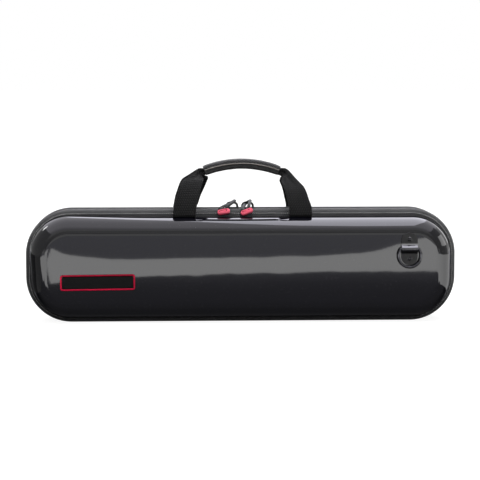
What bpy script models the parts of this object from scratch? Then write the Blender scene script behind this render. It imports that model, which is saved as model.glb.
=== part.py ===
"""Flute case: two glossy moulded half shells on padded fabric bands that zip together, with a fabric
hinge along the bottom, a webbing handle with a wrap-round grip, a strap ring on each shell and a foam
bed for the flute. It stands on its lower long edge: +X runs along its length, the front faces -Y, +Z is
up, and the origin is on the floor below its middle. Lengths are in metres.
"""

import math

import bmesh
import bpy
from mathutils import Matrix, Vector

# The case as a whole
CASE_LENGTH = 0.4425
CASE_HEIGHT = 0.116
CASE_DEPTH = 0.080
CORNER_RADIUS = 0.0465
LEAST_SIDE = 0.001
CORNER_STEPS = 9
CLEARANCE = 0.0003
OVERRUN = 0.002

# The fabric bands: each runs round its half, from the zip tape to the rim of the shell
BAND_RIM_DEPTH = 0.020
BAND_ROLL_HEIGHT = 0.0067
BAND_ROLL_DEPTH = 0.0062
BAND_STEPS = 5
BAND_WALL = 0.0035
BAND_FOOT_WALL = 0.0024
TAPE_HALF_WIDTH = 0.0102

# The moulded shells, set a little low and long in their bands
SHELL_WALL = 0.0016
SHELL_DROP = 0.0008
SHELL_REACH = 0.0009
SHOULDER_WIDTH = 0.0135
SHOULDER_TURN = 78.0
SHOULDER_STEPS = 7

# The zip
TAPE_WALL = 0.0008
COIL_RADIUS = 0.00095
COIL_INSET = 0.0013
COIL_SIDES = 8
ZIP_SPLIT = 0.0019

# The zip's sliders
SLIDERS_MEET_X = -0.0012
SLIDER_LENGTH = 0.0146
SLIDER_SPACE = 0.0016
SLIDER_WALL = 0.0010
SLIDER_LIP = 0.0010
SLIDER_REAR_REACH = 0.0036
ARCH_HALF_SPAN = 0.0056
ARCH_RISE = 0.0047
ARCH_WALL = 0.0018
ARCH_WIDTH = 0.0018
ARCH_STEPS = 12
ARCH_POWER = 3.0

# The pulls: a wire loop round the slider's arch, one leg under it and one over it, with a rubber
# sleeve on its free end
PULL_WIRE = 0.0015
PULL_NECK = 0.0026
PULL_HOOK_RADIUS = 0.0023
PULL_HOOK_SHARES = ((-0.95, 0.72), (0, 1), (0.80, 0.62))
PULL_LEG_SPREAD = 0.0036
PULL_LEG_STRAIGHT = 0.0009
PULL_STEPS = 4
SLEEVE_LENGTH = 0.0132
SLEEVE_HEIGHT = 0.0056
SLEEVE_WALL = 0.0034
SLEEVE_CORNER = 0.0018
SLEEVE_EDGE = 0.0007
SLEEVE_SOCKET = 0.0030
SLEEVE_PITCH = 62.0
SLEEVE_LEAN = {"left": 0.0091, "right": 0.0017}
SLEEVE_TILT = {"left": 9.5, "right": 22.0}

# The handle
HANDLE_X = 0.0007
STRAP_SPREAD = 0.0596
STRAP_WIDTH = 0.0232
STRAP_WALL = 0.0012
STRAP_BOW = 0.0053
STRAP_TAIL = 0.0025
STRAP_ENTRY = 0.0006
HANDLE_RISE = 0.0509
GRIP_LENGTH = 0.0825
GRIP_DEPTH = 0.020
GRIP_HEIGHT = 0.0100
GRIP_BEND_RADIUS = 0.112
GRIP_STEPS = 10
GRIP_FLAP = 0.0032
GRIP_CORNER = 0.0018
GRIP_STRAP_Y = 0.0045
GRIP_STRAP_HEIGHT = 0.0042

# The strap rings: a D with cut corners beside the bar
RING_END_GAP = 0.0508
RING_BAR_Z = 0.0766
RING_WIRE = 0.0028
RING_WIDTH = 0.0256
RING_DROP = 0.0215
RING_CORNER_SHARES = ((0.77, 0.0), (0.85, 0.05), (0.955, 0.28), (1.0, 0.44))
RING_STEPS = 10
BRACKET_WIDTH = 0.0167
BRACKET_HEIGHT = 0.0334
BRACKET_WALL = 0.0012
BRACKET_STEPS = 10
COVER_LENGTH = 0.0170
COVER_TURN = 40.0
COVER_WALL = 0.0008
COVER_STEPS = 10
SCREW_SPACING = 0.0198
SCREW_HEAD_RADIUS = 0.00235
SCREW_HEAD_WALL = 0.0009
SCREW_SHANK_RADIUS = 0.0012
SCREW_SIDES = 20
SCREW_TAIL = 0.0006
WASHER_RADIUS = 0.0040
WASHER_WALL = 0.0008

# The badge, left bare
BADGE_END_GAP = 0.0742
BADGE_Z = 0.0434
BADGE_LENGTH = 0.0760
BADGE_HEIGHT = 0.0162
BADGE_BORDER = 0.0020
BADGE_WALL = 0.0014
BADGE_FIELD_WALL = 0.0009
BADGE_CORNER = 0.0026
BADGE_STEPS = 5
BADGE_TILT = 0.6

# The fabric hinge along the bottom
HINGE_WALL = 0.0008
HINGE_INSET = 0.0005
HINGE_END_GAP = 0.002

# The padding inside
FOAM_FACE = 0.0008
FOAM_BACK_SPACE = 0.0014
FOAM_SIDE_DEPTH = 0.024
FOAM_TURN_INSET = 0.0135
PAD_WALL = 0.0082
POCKET_CORNER = 0.006
POCKET_STEPS = 4
POCKET_WALL = 0.0035
BODY_POCKET = (0.352, 0.033, 0.025)
HEAD_POCKET = (0.228, 0.028, 0.024)
FOOT_POCKET = (0.138, 0.030, 0.026)
ROD_POCKET = (0.336, 0.0075, 0.011)
POCKET_TOP_INSET = 0.0195
POCKET_GAP = 0.010

REAR, FRONT = 1, -1
LEFT, RIGHT = -1, 1

# Worked out from the sizes above
HALF_LENGTH = CASE_LENGTH / 2
RING_X = HALF_LENGTH - RING_END_GAP
BADGE_X = BADGE_END_GAP - HALF_LENGTH
HALF_DEPTH = CASE_DEPTH / 2
OUTLINE_RADIUS = min(CORNER_RADIUS, CASE_HEIGHT / 2 - LEAST_SIDE)
BAND_START = TAPE_HALF_WIDTH + CLEARANCE
BAND_END = BAND_RIM_DEPTH - CLEARANCE
RIM_INSET = BAND_ROLL_HEIGHT
SHELL_BACK = HALF_DEPTH - SHELL_WALL
TAPE_INSET = COIL_INSET - TAPE_WALL / 2
SLIDER_TOP = -COIL_INSET + COIL_RADIUS + CLEARANCE + SLIDER_WALL
ARCH_CROWN = SLIDER_TOP + ARCH_RISE
GRIP_TOP_Z = CASE_HEIGHT + HANDLE_RISE
STRAP_Y = BAND_RIM_DEPTH + STRAP_BOW
STRAP_TAIL_Z = CASE_HEIGHT - SHELL_DROP - RIM_INSET - STRAP_WALL / 2 - CLEARANCE / 2
BRACKET_Y = HALF_DEPTH + CLEARANCE
RING_Y = BRACKET_Y + BRACKET_WALL + CLEARANCE + RING_WIRE / 2
FOAM_INSET = BAND_ROLL_HEIGHT + BAND_FOOT_WALL + CLEARANCE
FOAM_BACK = SHELL_BACK - FOAM_BACK_SPACE


def collection(name, shown):
    """A new collection in the scene; what is in a hidden one is a cutter."""
    group = bpy.data.collections.new(name)
    group.hide_render = not shown
    bpy.context.scene.collection.children.link(group)
    return group


def clear_scene():
    for obj in list(bpy.data.objects):
        bpy.data.objects.remove(obj, do_unlink=True)


def material(name, color, roughness, metallic=0.0):
    finish = bpy.data.materials.new(name)
    finish.use_nodes = True
    shader = finish.node_tree.nodes["Principled BSDF"]
    shader.inputs["Base Color"].default_value = (*color, 1.0)
    shader.inputs["Roughness"].default_value = roughness
    shader.inputs["Metallic"].default_value = metallic
    return finish


COLORS = {
    "shell": ((0.035, 0.035, 0.040), 0.08, 0.0),
    "band": ((0.045, 0.046, 0.048), 0.85, 0.0),
    "tape": ((0.060, 0.060, 0.062), 0.80, 0.0),
    "webbing": ((0.015, 0.015, 0.016), 0.75, 0.0),
    "metal": ((0.050, 0.052, 0.050), 0.35, 0.9),
    "sleeve": ((0.800, 0.090, 0.160), 0.55, 0.0),
    "badge_border": ((0.450, 0.008, 0.040), 0.40, 0.0),
    "badge_field": ((0.006, 0.006, 0.007), 0.45, 0.0),
    "foam": ((0.030, 0.030, 0.034), 0.95, 0.0),
}


def add(name, data, look, origin=(0, 0, 0), shown=True):
    """Puts a mesh or curve in the scene as an object, with a material of its own."""
    obj = bpy.data.objects.new(name, data)
    obj.location = origin
    if shown:
        data.materials.append(material(name, *COLORS[look]))
        CASE.objects.link(obj)
    else:
        obj.hide_render = True
        obj.display_type = "WIRE"
        CUTTERS.objects.link(obj)
    return obj


def mesh_of(name, bm):
    """Turns a bmesh into mesh data with its faces outwards, smooth but for its sharp edges."""
    bmesh.ops.recalc_face_normals(bm, faces=bm.faces)
    data = bpy.data.meshes.new(name)
    bm.to_mesh(data)
    bm.free()
    data.shade_smooth()
    data.set_sharp_from_angle(angle=math.radians(35))
    return data


def modify(obj, kind, **settings):
    modifier = obj.modifiers.new(kind.title(), kind)
    for key, value in settings.items():
        setattr(modifier, key, value)
    return modifier


def cut(obj, cutter, operation="DIFFERENCE"):
    modify(obj, "BOOLEAN", object=cutter, operation=operation)


def baked(obj):
    """The object with its modifiers, or its curve, made plain mesh, under the same name."""
    bpy.context.view_layer.update()
    graph = bpy.context.evaluated_depsgraph_get()
    data = bpy.data.meshes.new_from_object(obj.evaluated_get(graph))
    bm = bmesh.new()
    bm.from_mesh(data)
    bmesh.ops.remove_doubles(bm, verts=bm.verts, dist=CLEARANCE / 100)
    bm.to_mesh(data)
    bm.free()
    name = obj.name
    group = obj.users_collection[0]
    solid = bpy.data.objects.new(name + "_solid", data)
    solid.matrix_world = obj.matrix_world.copy()
    solid.hide_render = obj.hide_render
    solid.display_type = obj.display_type
    group.objects.link(solid)
    bpy.data.objects.remove(obj, do_unlink=True)
    solid.name = name
    return solid


def outline(inset):
    """Points (x, z) of the case's outline drawn in by an inset, from the lower left corner over the
    top to the lower right corner. Past the band's wall it comes over to the shell's own place."""
    share = min(max((inset - BAND_WALL) / (RIM_INSET - BAND_WALL), 0), 1)
    straight = HALF_LENGTH - OUTLINE_RADIUS + SHELL_REACH * share
    low = OUTLINE_RADIUS - SHELL_DROP * share
    high = CASE_HEIGHT - OUTLINE_RADIUS - SHELL_DROP * share
    radius = OUTLINE_RADIUS - inset
    points = []
    for x, z, start in ((-straight, low, 270), (-straight, high, 180), (straight, high, 90), (straight, low, 0)):
        for step in range(CORNER_STEPS + 1):
            angle = math.radians(start - 90 * step / CORNER_STEPS)
            points.append((x + radius * math.cos(angle), z + radius * math.sin(angle)))
    return points


def skin(rings, around=False, along=False, caps=False):
    """A bmesh through rings of points: around closes each ring, along joins the last ring to the
    first, and caps fills the first and the last ring."""
    bm = bmesh.new()
    grid = [[bm.verts.new(point) for point in ring] for ring in rings]
    count = len(grid[0])
    for i in range(len(grid) if along else len(grid) - 1):
        here, there = grid[i], grid[(i + 1) % len(grid)]
        for j in range(count if around else count - 1):
            k = (j + 1) % count
            bm.faces.new((here[j], here[k], there[k], there[j]))
    if caps:
        bm.faces.new(grid[0])
        bm.faces.new(reversed(grid[-1]))
    return bm


def round_case(section, side, closed=True):
    """Rings of a section of (inset, depth) points carried round the case's outline on one side of it.
    A closed one runs on along the bottom; an open one stops at the two lower corners."""
    loops = [[(x, side * depth, z) for x, z in outline(inset)] for inset, depth in section]
    rings = [list(ring) for ring in zip(*loops)]
    return skin(rings, around=True, along=closed, caps=not closed)


def rounded_rectangle(width, height, radius, steps):
    """Points of a rectangle with round corners about the origin."""
    radius = min(radius, width / 2 - CLEARANCE, height / 2 - CLEARANCE)
    points = []
    for quarter in range(4):
        x = (width / 2 - radius) * (1 if quarter in (0, 3) else -1)
        y = (height / 2 - radius) * (1 if quarter in (0, 1) else -1)
        for step in range(steps + 1):
            angle = math.radians(90 * (quarter + step / steps))
            points.append((x + radius * math.cos(angle), y + radius * math.sin(angle)))
    return points


def slab(points, centre, low, high):
    """A bmesh of an (x, z) outline about a centre, from one depth y to another."""
    rings = [[(centre[0] + x, y, centre[1] + z) for x, z in points] for y in (low, high)]
    return skin(rings, around=True, caps=True)


def turned(points, degrees):
    angle = math.radians(degrees)
    return [
        (x * math.cos(angle) - z * math.sin(angle), x * math.sin(angle) + z * math.cos(angle))
        for x, z in points
    ]


def circle(radius, sides):
    step = 2 * math.pi / sides
    return [(radius * math.cos(step * i), radius * math.sin(step * i)) for i in range(sides)]


def smooth_path(points, steps):
    """Points on a smooth curve through the given ones. At each it runs the way its neighbours lie."""
    last = len(points) - 1
    ways = [(points[min(i + 1, last)] - points[max(i - 1, 0)]).normalized() for i in range(last + 1)]
    path = []
    for i in range(last):
        start, end = points[i], points[i + 1]
        span = (end - start).length
        for step in range(steps):
            t = step / steps
            ahead = t * t * (3 - 2 * t)
            pull = ways[i] * span * t * (1 - t) ** 2 - ways[i + 1] * span * t * t * (1 - t)
            path.append(start.lerp(end, ahead) + pull)
    path.append(points[-1])
    return path


def wire(name, points, radius, look, origin, closed=False):
    """A round wire along a path, as a curve with a bevel."""
    data = bpy.data.curves.new(name, "CURVE")
    data.dimensions = "3D"
    data.bevel_depth = radius
    data.bevel_resolution = 2
    data.use_fill_caps = not closed
    spline = data.splines.new("POLY")
    spline.points.add(len(points) - 1)
    for point, place in zip(spline.points, points):
        point.co = (*place, 1)
    spline.use_cyclic_u = closed
    return add(name, data, look, origin)


def roll_profile():
    """(inset, depth) points of a band's rounded outer edge, from its flat to the shell's rim."""
    start = BAND_RIM_DEPTH - BAND_ROLL_DEPTH
    points = []
    for step in range(BAND_STEPS + 1):
        angle = math.pi / 2 * step / BAND_STEPS
        inset = BAND_ROLL_HEIGHT * (1 - math.cos(angle))
        points.append((inset, start + (BAND_END - start) * math.sin(angle)))
    return points


def make_band(name, side):
    """The padded fabric band: a flat beside the zip, a round roll, and a foot behind the rim."""
    foot = BAND_ROLL_HEIGHT + BAND_FOOT_WALL
    roll_start = BAND_RIM_DEPTH - BAND_ROLL_DEPTH
    section = [(0, BAND_START), *roll_profile()]
    section += [(foot, BAND_END), (foot, roll_start), (BAND_WALL, BAND_START)]
    add(name, mesh_of(name, round_case(section, side)), "band")


def make_zip_tape(name, side):
    """The zip's tape with its row of coil, from one lower corner over the top to the other."""
    coil_y = ZIP_SPLIT / 2 + COIL_RADIUS
    section = [(TAPE_INSET, TAPE_HALF_WIDTH), (TAPE_INSET + TAPE_WALL, TAPE_HALF_WIDTH)]
    joint = math.asin(min(1, TAPE_WALL / 2 / COIL_RADIUS))
    for step in range(COIL_SIDES + 1):
        angle = joint + (2 * math.pi - 2 * joint) * step / COIL_SIDES
        section.append((COIL_INSET + COIL_RADIUS * math.sin(angle), coil_y + COIL_RADIUS * math.cos(angle)))
    add(name, mesh_of(name, round_case(section, side, closed=False)), "tape")


def shoulder_profile():
    """(inset, depth) points of a shell's outer face, from its rim to its flat."""
    turn = math.radians(SHOULDER_TURN)
    rise = (HALF_DEPTH - BAND_RIM_DEPTH) / math.sin(turn)
    reach = SHOULDER_WIDTH / (1 - math.cos(turn))
    points = []
    for step in range(SHOULDER_STEPS + 1):
        angle = turn * step / SHOULDER_STEPS
        points.append((RIM_INSET + reach * (1 - math.cos(angle)), BAND_RIM_DEPTH + rise * math.sin(angle)))
    return points


def screw_places():
    """Heights of the two screws that hold a strap ring's bracket."""
    return {"upper": RING_BAR_Z + SCREW_SPACING / 2, "lower": RING_BAR_Z - SCREW_SPACING / 2}


def make_shell(name, side):
    """The moulded shell: an open skin with a wall, notched at the rim for the handle's webbing."""
    loops = [[(x, side * depth, z) for x, z in outline(inset)] for inset, depth in shoulder_profile()]
    bm = skin(loops, around=True)
    bm.verts.ensure_lookup_table()
    count = len(loops[0])
    flat = [bm.verts[len(bm.verts) - count + i] for i in range(count)]
    bm.faces.new(flat)
    bmesh.ops.recalc_face_normals(bm, faces=bm.faces)
    outward = max(bm.faces, key=lambda face: len(face.verts)).normal.y * side
    data = bpy.data.meshes.new(name)
    bm.to_mesh(data)
    bm.free()
    data.shade_smooth()
    data.set_sharp_from_angle(angle=math.radians(35))
    shell = add(name, data, "shell")
    wall_offset = -1 if outward > 0 else 1
    modify(shell, "SOLIDIFY", thickness=SHELL_WALL, offset=wall_offset, use_even_offset=True)
    for hand in (LEFT, RIGHT):
        width = STRAP_WIDTH + 2 * CLEARANCE
        deep = STRAP_BOW + STRAP_WALL
        points = rounded_rectangle(width, 2 * SHELL_WALL + 2 * OVERRUN, 0, 1)
        rim_z = CASE_HEIGHT - SHELL_DROP - RIM_INSET
        centre = (HANDLE_X + hand * STRAP_SPREAD, rim_z - SHELL_WALL / 2)
        ends = sorted((side * (BAND_RIM_DEPTH - OVERRUN), side * (BAND_RIM_DEPTH + deep)))
        notch = slab(points, centre, *ends)
        cut(shell, add(f"{name}_notch_{hand}", mesh_of("notch", notch), None, shown=False))
    for place, z in screw_places().items():
        hole = slab(circle(SCREW_SHANK_RADIUS + CLEARANCE, SCREW_SIDES), (-side * RING_X, z),
                    *sorted((side * (SHELL_BACK - OVERRUN), side * (HALF_DEPTH + OVERRUN))))
        cut(shell, add(f"{name}_hole_{place}", mesh_of("hole", hole), None, shown=False))


def slider_section():
    """(y, z) outline of a slider, from the zip line: two plates on a post, with lips round the front
    coil and open behind, so that the rear coil leaves freely."""
    over = -COIL_INSET + COIL_RADIUS + CLEARANCE
    under = -COIL_INSET - COIL_RADIUS - CLEARANCE
    lip_over = -COIL_INSET + TAPE_WALL / 2 + CLEARANCE
    lip_under = -COIL_INSET - TAPE_WALL / 2 - CLEARANCE
    post = ZIP_SPLIT / 2 - CLEARANCE
    lip = ZIP_SPLIT / 2 + 2 * COIL_RADIUS + CLEARANCE
    edge = lip + SLIDER_LIP
    upper = [(-edge, lip_over), (-lip, lip_over), (-lip, over), (-post, over)]
    lower = [(-post, under), (-lip, under), (-lip, lip_under), (-edge, lip_under)]
    rear = SLIDER_REAR_REACH
    behind = [(post, under), (post, over), (rear, over), (rear, over + SLIDER_WALL)]
    return (
        upper + lower + [(-edge, under - SLIDER_WALL), (rear, under - SLIDER_WALL), (rear, under)]
        + behind + [(-edge, over + SLIDER_WALL)]
    )


def make_slider(hand_name, hand):
    """A zip slider with its arch, its origin on the zip line at its middle."""
    name = f"zip_slider_{hand_name}"
    origin = (slider_x(hand), 0, CASE_HEIGHT)
    half = SLIDER_LENGTH / 2
    rings = [[(x, y, z) for y, z in slider_section()] for x in (-half, half)]
    slider = add(name, mesh_of(name, skin(rings, around=True, caps=True)), "metal", origin)
    span = ARCH_HALF_SPAN
    foot = SLIDER_TOP - SLIDER_WALL / 2
    rise = ARCH_CROWN - foot
    path = []
    for step in range(ARCH_STEPS + 1):
        angle = math.pi * (1 - step / ARCH_STEPS)
        c, s = math.cos(angle), math.sin(angle)
        share = (abs(c) ** ARCH_POWER + abs(s) ** ARCH_POWER) ** (-1 / ARCH_POWER)
        path.append((span * c * share, foot + rise * s * share))
    rings = []
    for i, (x, z) in enumerate(path):
        ahead = path[min(i + 1, ARCH_STEPS)]
        back = path[max(i - 1, 0)]
        along = Vector((ahead[0] - back[0], ahead[1] - back[1])).normalized()
        out = Vector((-along.y, along.x)) * ARCH_WALL / 2
        half_width = ARCH_WIDTH / 2
        rings.append([
            (x + out.x, -half_width, z + out.y), (x + out.x, half_width, z + out.y),
            (x - out.x, half_width, z - out.y), (x - out.x, -half_width, z - out.y),
        ])
    arch = mesh_of(name + "_arch", skin(rings, around=True, caps=True))
    cut(slider, add(name + "_arch", arch, None, origin, shown=False), "UNION")


def slider_x(hand):
    return SLIDERS_MEET_X + hand * (SLIDER_LENGTH + SLIDER_SPACE) / 2


def sleeve_matrix(hand_name):
    """From a sleeve's own axes, x along it, y up it and z out of it, to the pull's pivot. The sleeve
    lies a clearance off the band's roll, where the roll has the sleeve's slope."""
    pitch = math.radians(SLEEVE_PITCH)
    turn = math.atan(math.tan(pitch) * BAND_ROLL_DEPTH / BAND_ROLL_HEIGHT)
    roll_y = BAND_RIM_DEPTH - BAND_ROLL_DEPTH + BAND_ROLL_DEPTH * math.sin(turn)
    roll_z = -BAND_ROLL_HEIGHT * (1 - math.cos(turn))
    up = Vector((0, math.cos(pitch), math.sin(pitch)))
    out = Vector((0, -math.sin(pitch), math.cos(pitch)))
    centre = Vector((-SLEEVE_LEAN[hand_name], -roll_y, roll_z - ARCH_CROWN))
    centre += out * (SLEEVE_WALL / 2 + CLEARANCE)
    tilt = math.radians(SLEEVE_TILT[hand_name])
    across = Vector((1, 0, 0))
    x_axis = across * math.cos(tilt) + up * math.sin(tilt)
    y_axis = up * math.cos(tilt) - across * math.sin(tilt)
    return Matrix.Translation(centre) @ Matrix((x_axis, y_axis, out)).transposed().to_4x4()


def make_pull(hand_name, hand):
    """The wire loop and its sleeve, both with their origin on the arch's crown, where they swing."""
    pivot = (slider_x(hand), 0, CASE_HEIGHT + ARCH_CROWN)
    place = sleeve_matrix(hand_name)
    half = SLEEVE_HEIGHT / 2
    legs = {}
    for side in (LEFT, RIGHT):
        spread = side * PULL_LEG_SPREAD
        low = place @ Vector((spread, half - SLEEVE_SOCKET + CLEARANCE, 0))
        exit_point = place @ Vector((spread, half, 0))
        bend = place @ Vector((spread, half + PULL_LEG_STRAIGHT, 0))
        hook = [
            Vector((side * PULL_NECK, PULL_HOOK_RADIUS * back, side * PULL_HOOK_RADIUS * up))
            for back, up in PULL_HOOK_SHARES
        ]
        middle = bend.lerp(hook[0], 1 / 3) + Vector((0, 0, PULL_WIRE / 2))
        legs[side] = [low, exit_point, bend, middle, *hook]
    bar = [Vector((0, PULL_HOOK_RADIUS, 0))]
    path = smooth_path(legs[LEFT] + bar + legs[RIGHT][::-1], PULL_STEPS)
    wire(f"pull_loop_{hand_name}", path, PULL_WIRE / 2, "metal", pivot)

    name = f"pull_sleeve_{hand_name}"
    corners = rounded_rectangle(SLEEVE_LENGTH, SLEEVE_HEIGHT, SLEEVE_CORNER, BADGE_STEPS)
    rings = []
    for level, shrink in ((-1, SLEEVE_EDGE), (-1, 0), (1, 0), (1, SLEEVE_EDGE)):
        height = level * (SLEEVE_WALL / 2 - (0 if shrink else SLEEVE_EDGE))
        share = Vector((1 - 2 * shrink / SLEEVE_LENGTH, 1 - 2 * shrink / SLEEVE_HEIGHT))
        rings.append([place @ Vector((x * share.x, y * share.y, height)) for x, y in corners])
    sleeve = add(name, mesh_of(name, skin(rings, around=True, caps=True)), "sleeve", pivot)
    for side in (LEFT, RIGHT):
        hole = circle(PULL_WIRE / 2 + CLEARANCE, SCREW_SIDES // 2)
        ends = (half - SLEEVE_SOCKET, half + OVERRUN)
        rings = [[place @ Vector((side * PULL_LEG_SPREAD + x, y, z)) for x, z in hole] for y in ends]
        socket = mesh_of("socket", skin(rings, around=True, caps=True))
        cut(sleeve, add(f"{name}_socket_{side}", socket, None, pivot, shown=False))


def grip_point(x, y, drop):
    """A point x along the bent grip, at depth y and a drop below its top."""
    angle = x / GRIP_BEND_RADIUS
    radius = GRIP_BEND_RADIUS - drop
    return (HANDLE_X + radius * math.sin(angle), y, GRIP_TOP_Z - GRIP_BEND_RADIUS + radius * math.cos(angle))


def grip_sweep(section, half_length):
    rings = []
    for step in range(GRIP_STEPS + 1):
        x = half_length * (2 * step / GRIP_STEPS - 1)
        rings.append([grip_point(x, y, drop) for y, drop in section])
    return skin(rings, around=True, caps=True)


# Each station of the webbing between the band and the grip: how far out from the grip's depth towards
# the bow, then for its outer and its inner edge how far along from the grip's end towards the strap's
# foot and how far up from the band's top to the grip.
STRAP_STATION_SHARES = {
    LEFT: (
        (0.985, 1.481, 0.093, 0.409, 0.091),
        (0.930, 1.409, 0.304, 0.332, 0.303),
        (0.830, 1.313, 0.509, 0.249, 0.507),
        (0.700, 1.221, 0.675, 0.175, 0.674),
        (0.550, 1.116, 0.803, 0.105, 0.802),
        (0.420, 0.963, 0.882, 0.089, 0.820),
        (0.280, 0.724, 0.971, 0.095, 0.843),
        (0.120, 0.475, 1.061, 0.134, 0.866),
        (0.030, 0.288, 1.102, 0.194, 0.885),
    ),
    RIGHT: (
        (0.985, 1.511, 0.081, 0.443, 0.083),
        (0.930, 1.387, 0.287, 0.365, 0.288),
        (0.830, 1.289, 0.463, 0.295, 0.465),
        (0.700, 1.185, 0.594, 0.218, 0.599),
        (0.550, 1.034, 0.695, 0.133, 0.713),
        (0.420, 0.825, 0.827, 0.117, 0.761),
        (0.280, 0.625, 0.965, 0.140, 0.804),
        (0.120, 0.464, 1.066, 0.188, 0.844),
        (0.030, 0.327, 1.103, 0.223, 0.874),
    ),
}
# The left leg of the rear webbing has slack: its inner edge stands further in under the grip
REAR_SLACK_SHARES = (0.105, 0.142, 0.211, 0.255, 0.265, 0.255, 0.250, 0.200, 0.080)
STRAP_BEND_SHARES = ((0.0, 0.0), (0.72, 0.14), (0.96, 0.42), (1.0, 1.0))


def strap_stations(side, hand):
    """(centre, half width vector towards the inner edge) along one leg of a webbing, from its tail in
    the seam to the middle of the grip."""
    tail_start = BAND_RIM_DEPTH + CLEARANCE
    tail_end = tail_start + STRAP_TAIL
    half = -hand * STRAP_WIDTH / 2
    foot_x = HANDLE_X + hand * STRAP_SPREAD
    stations = [((foot_x, tail_start, STRAP_TAIL_Z), (half, 0, 0))]
    bend_rise = RIM_INSET / 2
    for out, up in STRAP_BEND_SHARES:
        y = tail_end + (STRAP_Y - tail_end) * out
        stations.append(((foot_x, y, STRAP_TAIL_Z + bend_rise * up), (half, 0, 0)))
    strap_drop = GRIP_FLAP + CLEARANCE + (GRIP_HEIGHT - GRIP_FLAP - CLEARANCE) / 2
    entry = grip_point(hand * GRIP_LENGTH / 2, GRIP_STRAP_Y, strap_drop)
    slack = REAR_SLACK_SHARES if (side, hand) == (REAR, LEFT) else [0] * len(REAR_SLACK_SHARES)
    for (out, outer_x, outer_z, inner_x, inner_z), loose in zip(STRAP_STATION_SHARES[hand], slack):
        y = GRIP_STRAP_Y + (STRAP_Y - GRIP_STRAP_Y) * out
        edges = [
            Vector((entry[0] + (foot_x - entry[0]) * along, y, CASE_HEIGHT + (entry[2] - CASE_HEIGHT) * up))
            for along, up in ((outer_x, outer_z), (inner_x - loose, inner_z))
        ]
        stations.append(((edges[0] + edges[1]) / 2, (edges[1] - edges[0]) / 2))
    flat = GRIP_STRAP_HEIGHT / 2
    inside = GRIP_LENGTH / 2 - GRIP_STRAP_HEIGHT
    places = [GRIP_LENGTH / 2 + STRAP_ENTRY]
    places += [inside * (1 - step / (GRIP_STEPS // 2)) for step in range(GRIP_STEPS // 2)]
    for place in places:
        angle = hand * place / GRIP_BEND_RADIUS
        width = (-flat * math.sin(angle), 0, -flat * math.cos(angle))
        stations.append((grip_point(hand * place, GRIP_STRAP_Y, strap_drop), width))
    return [((x, side * y, z), width) for (x, y, z), width in stations], strap_drop


def make_strap(name, side):
    """One webbing loop: from the seam of one band, through the grip, to the seam on the other hand."""
    stations, strap_drop = strap_stations(side, LEFT)
    flat = GRIP_STRAP_HEIGHT / 2
    middle = [(grip_point(0, side * GRIP_STRAP_Y, strap_drop), (0, 0, -flat))]
    rings = []
    for centre, width in stations + middle + strap_stations(side, RIGHT)[0][::-1]:
        centre, width = Vector(centre), Vector(width)
        rings.append([centre - width, centre, centre + width])
    bm = skin(rings)
    bmesh.ops.recalc_face_normals(bm, faces=bm.faces)
    data = bpy.data.meshes.new(name)
    bm.to_mesh(data)
    bm.free()
    strap = add(name, data, "webbing")
    modify(strap, "SOLIDIFY", thickness=STRAP_WALL, offset=0, use_even_offset=True)


def make_grip():
    """The grip's two halves. The rear one closes over the top with a flap down to the line on the
    front; the front one lies below the flap and leaves forwards when the case opens."""
    half, corner, low = GRIP_DEPTH / 2, GRIP_CORNER, GRIP_HEIGHT
    flap = GRIP_FLAP
    front = [
        (-half, flap + CLEARANCE), (-CLEARANCE, flap + CLEARANCE), (-CLEARANCE, low),
        (corner - half, low), (-half, low - corner),
    ]
    rear = [
        (-half, flap), (-half, corner), (corner - half, 0), (half - corner, 0), (half, corner),
        (half, low - corner), (half - corner, low), (0, low), (0, flap),
    ]
    tunnel_drop = flap + CLEARANCE + (low - flap - CLEARANCE) / 2
    for name, section, side in (("front_grip", front, FRONT), ("rear_grip", rear, REAR)):
        grip = add(name, mesh_of(name, grip_sweep(section, GRIP_LENGTH / 2)), "webbing")
        wide = STRAP_WALL / 2 + CLEARANCE
        tall = GRIP_STRAP_HEIGHT / 2 + CLEARANCE
        middle = side * GRIP_STRAP_Y
        hole = [
            (middle - wide, tunnel_drop - tall), (middle + wide, tunnel_drop - tall),
            (middle + wide, tunnel_drop + tall), (middle - wide, tunnel_drop + tall),
        ]
        tunnel = mesh_of("tunnel", grip_sweep(hole, GRIP_LENGTH / 2 + OVERRUN))
        cut(grip, add(name + "_tunnel", tunnel, None, shown=False))


def make_ring_bracket(name, side):
    """The ring's plate on the shell, with the pressed cover over the ring's bar."""
    x = -side * RING_X
    low, high = sorted((side * BRACKET_Y, side * (BRACKET_Y + BRACKET_WALL)))
    points = rounded_rectangle(BRACKET_WIDTH, BRACKET_HEIGHT, BRACKET_WIDTH / 2, BRACKET_STEPS)
    plate = add(name, mesh_of(name, slab(points, (x, RING_BAR_Z), low, high)), "metal")
    for place, z in screw_places().items():
        hole = slab(circle(SCREW_SHANK_RADIUS + CLEARANCE, SCREW_SIDES), (x, z), low - OVERRUN, high + OVERRUN)
        cut(plate, add(f"{name}_hole_{place}", mesh_of("hole", hole), None, shown=False))
    inner = RING_WIRE / 2 + CLEARANCE
    outer = inner + COVER_WALL
    face = side * (BRACKET_Y + BRACKET_WALL / 2)
    arc = []
    turn = math.radians(COVER_TURN)
    for radius, order in ((outer, 1), (inner, -1)):
        points = []
        for step in range(COVER_STEPS + 1):
            angle = turn + (math.pi - 2 * turn) * step / COVER_STEPS
            points.append((side * (RING_Y + radius * math.sin(angle)), RING_BAR_Z + radius * math.cos(angle)))
        rise = radius * math.cos(turn) + (abs(points[0][0]) - abs(face)) * math.tan(turn)
        arc += [(face, RING_BAR_Z + rise), *points, (face, RING_BAR_Z - rise)][::order]
    rings = [[(x + along, y, z) for y, z in arc] for along in (-COVER_LENGTH / 2, COVER_LENGTH / 2)]
    cover = mesh_of(name + "_cover", skin(rings, around=True, caps=True))
    cut(plate, add(name + "_cover", cover, None, shown=False), "UNION")


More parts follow.
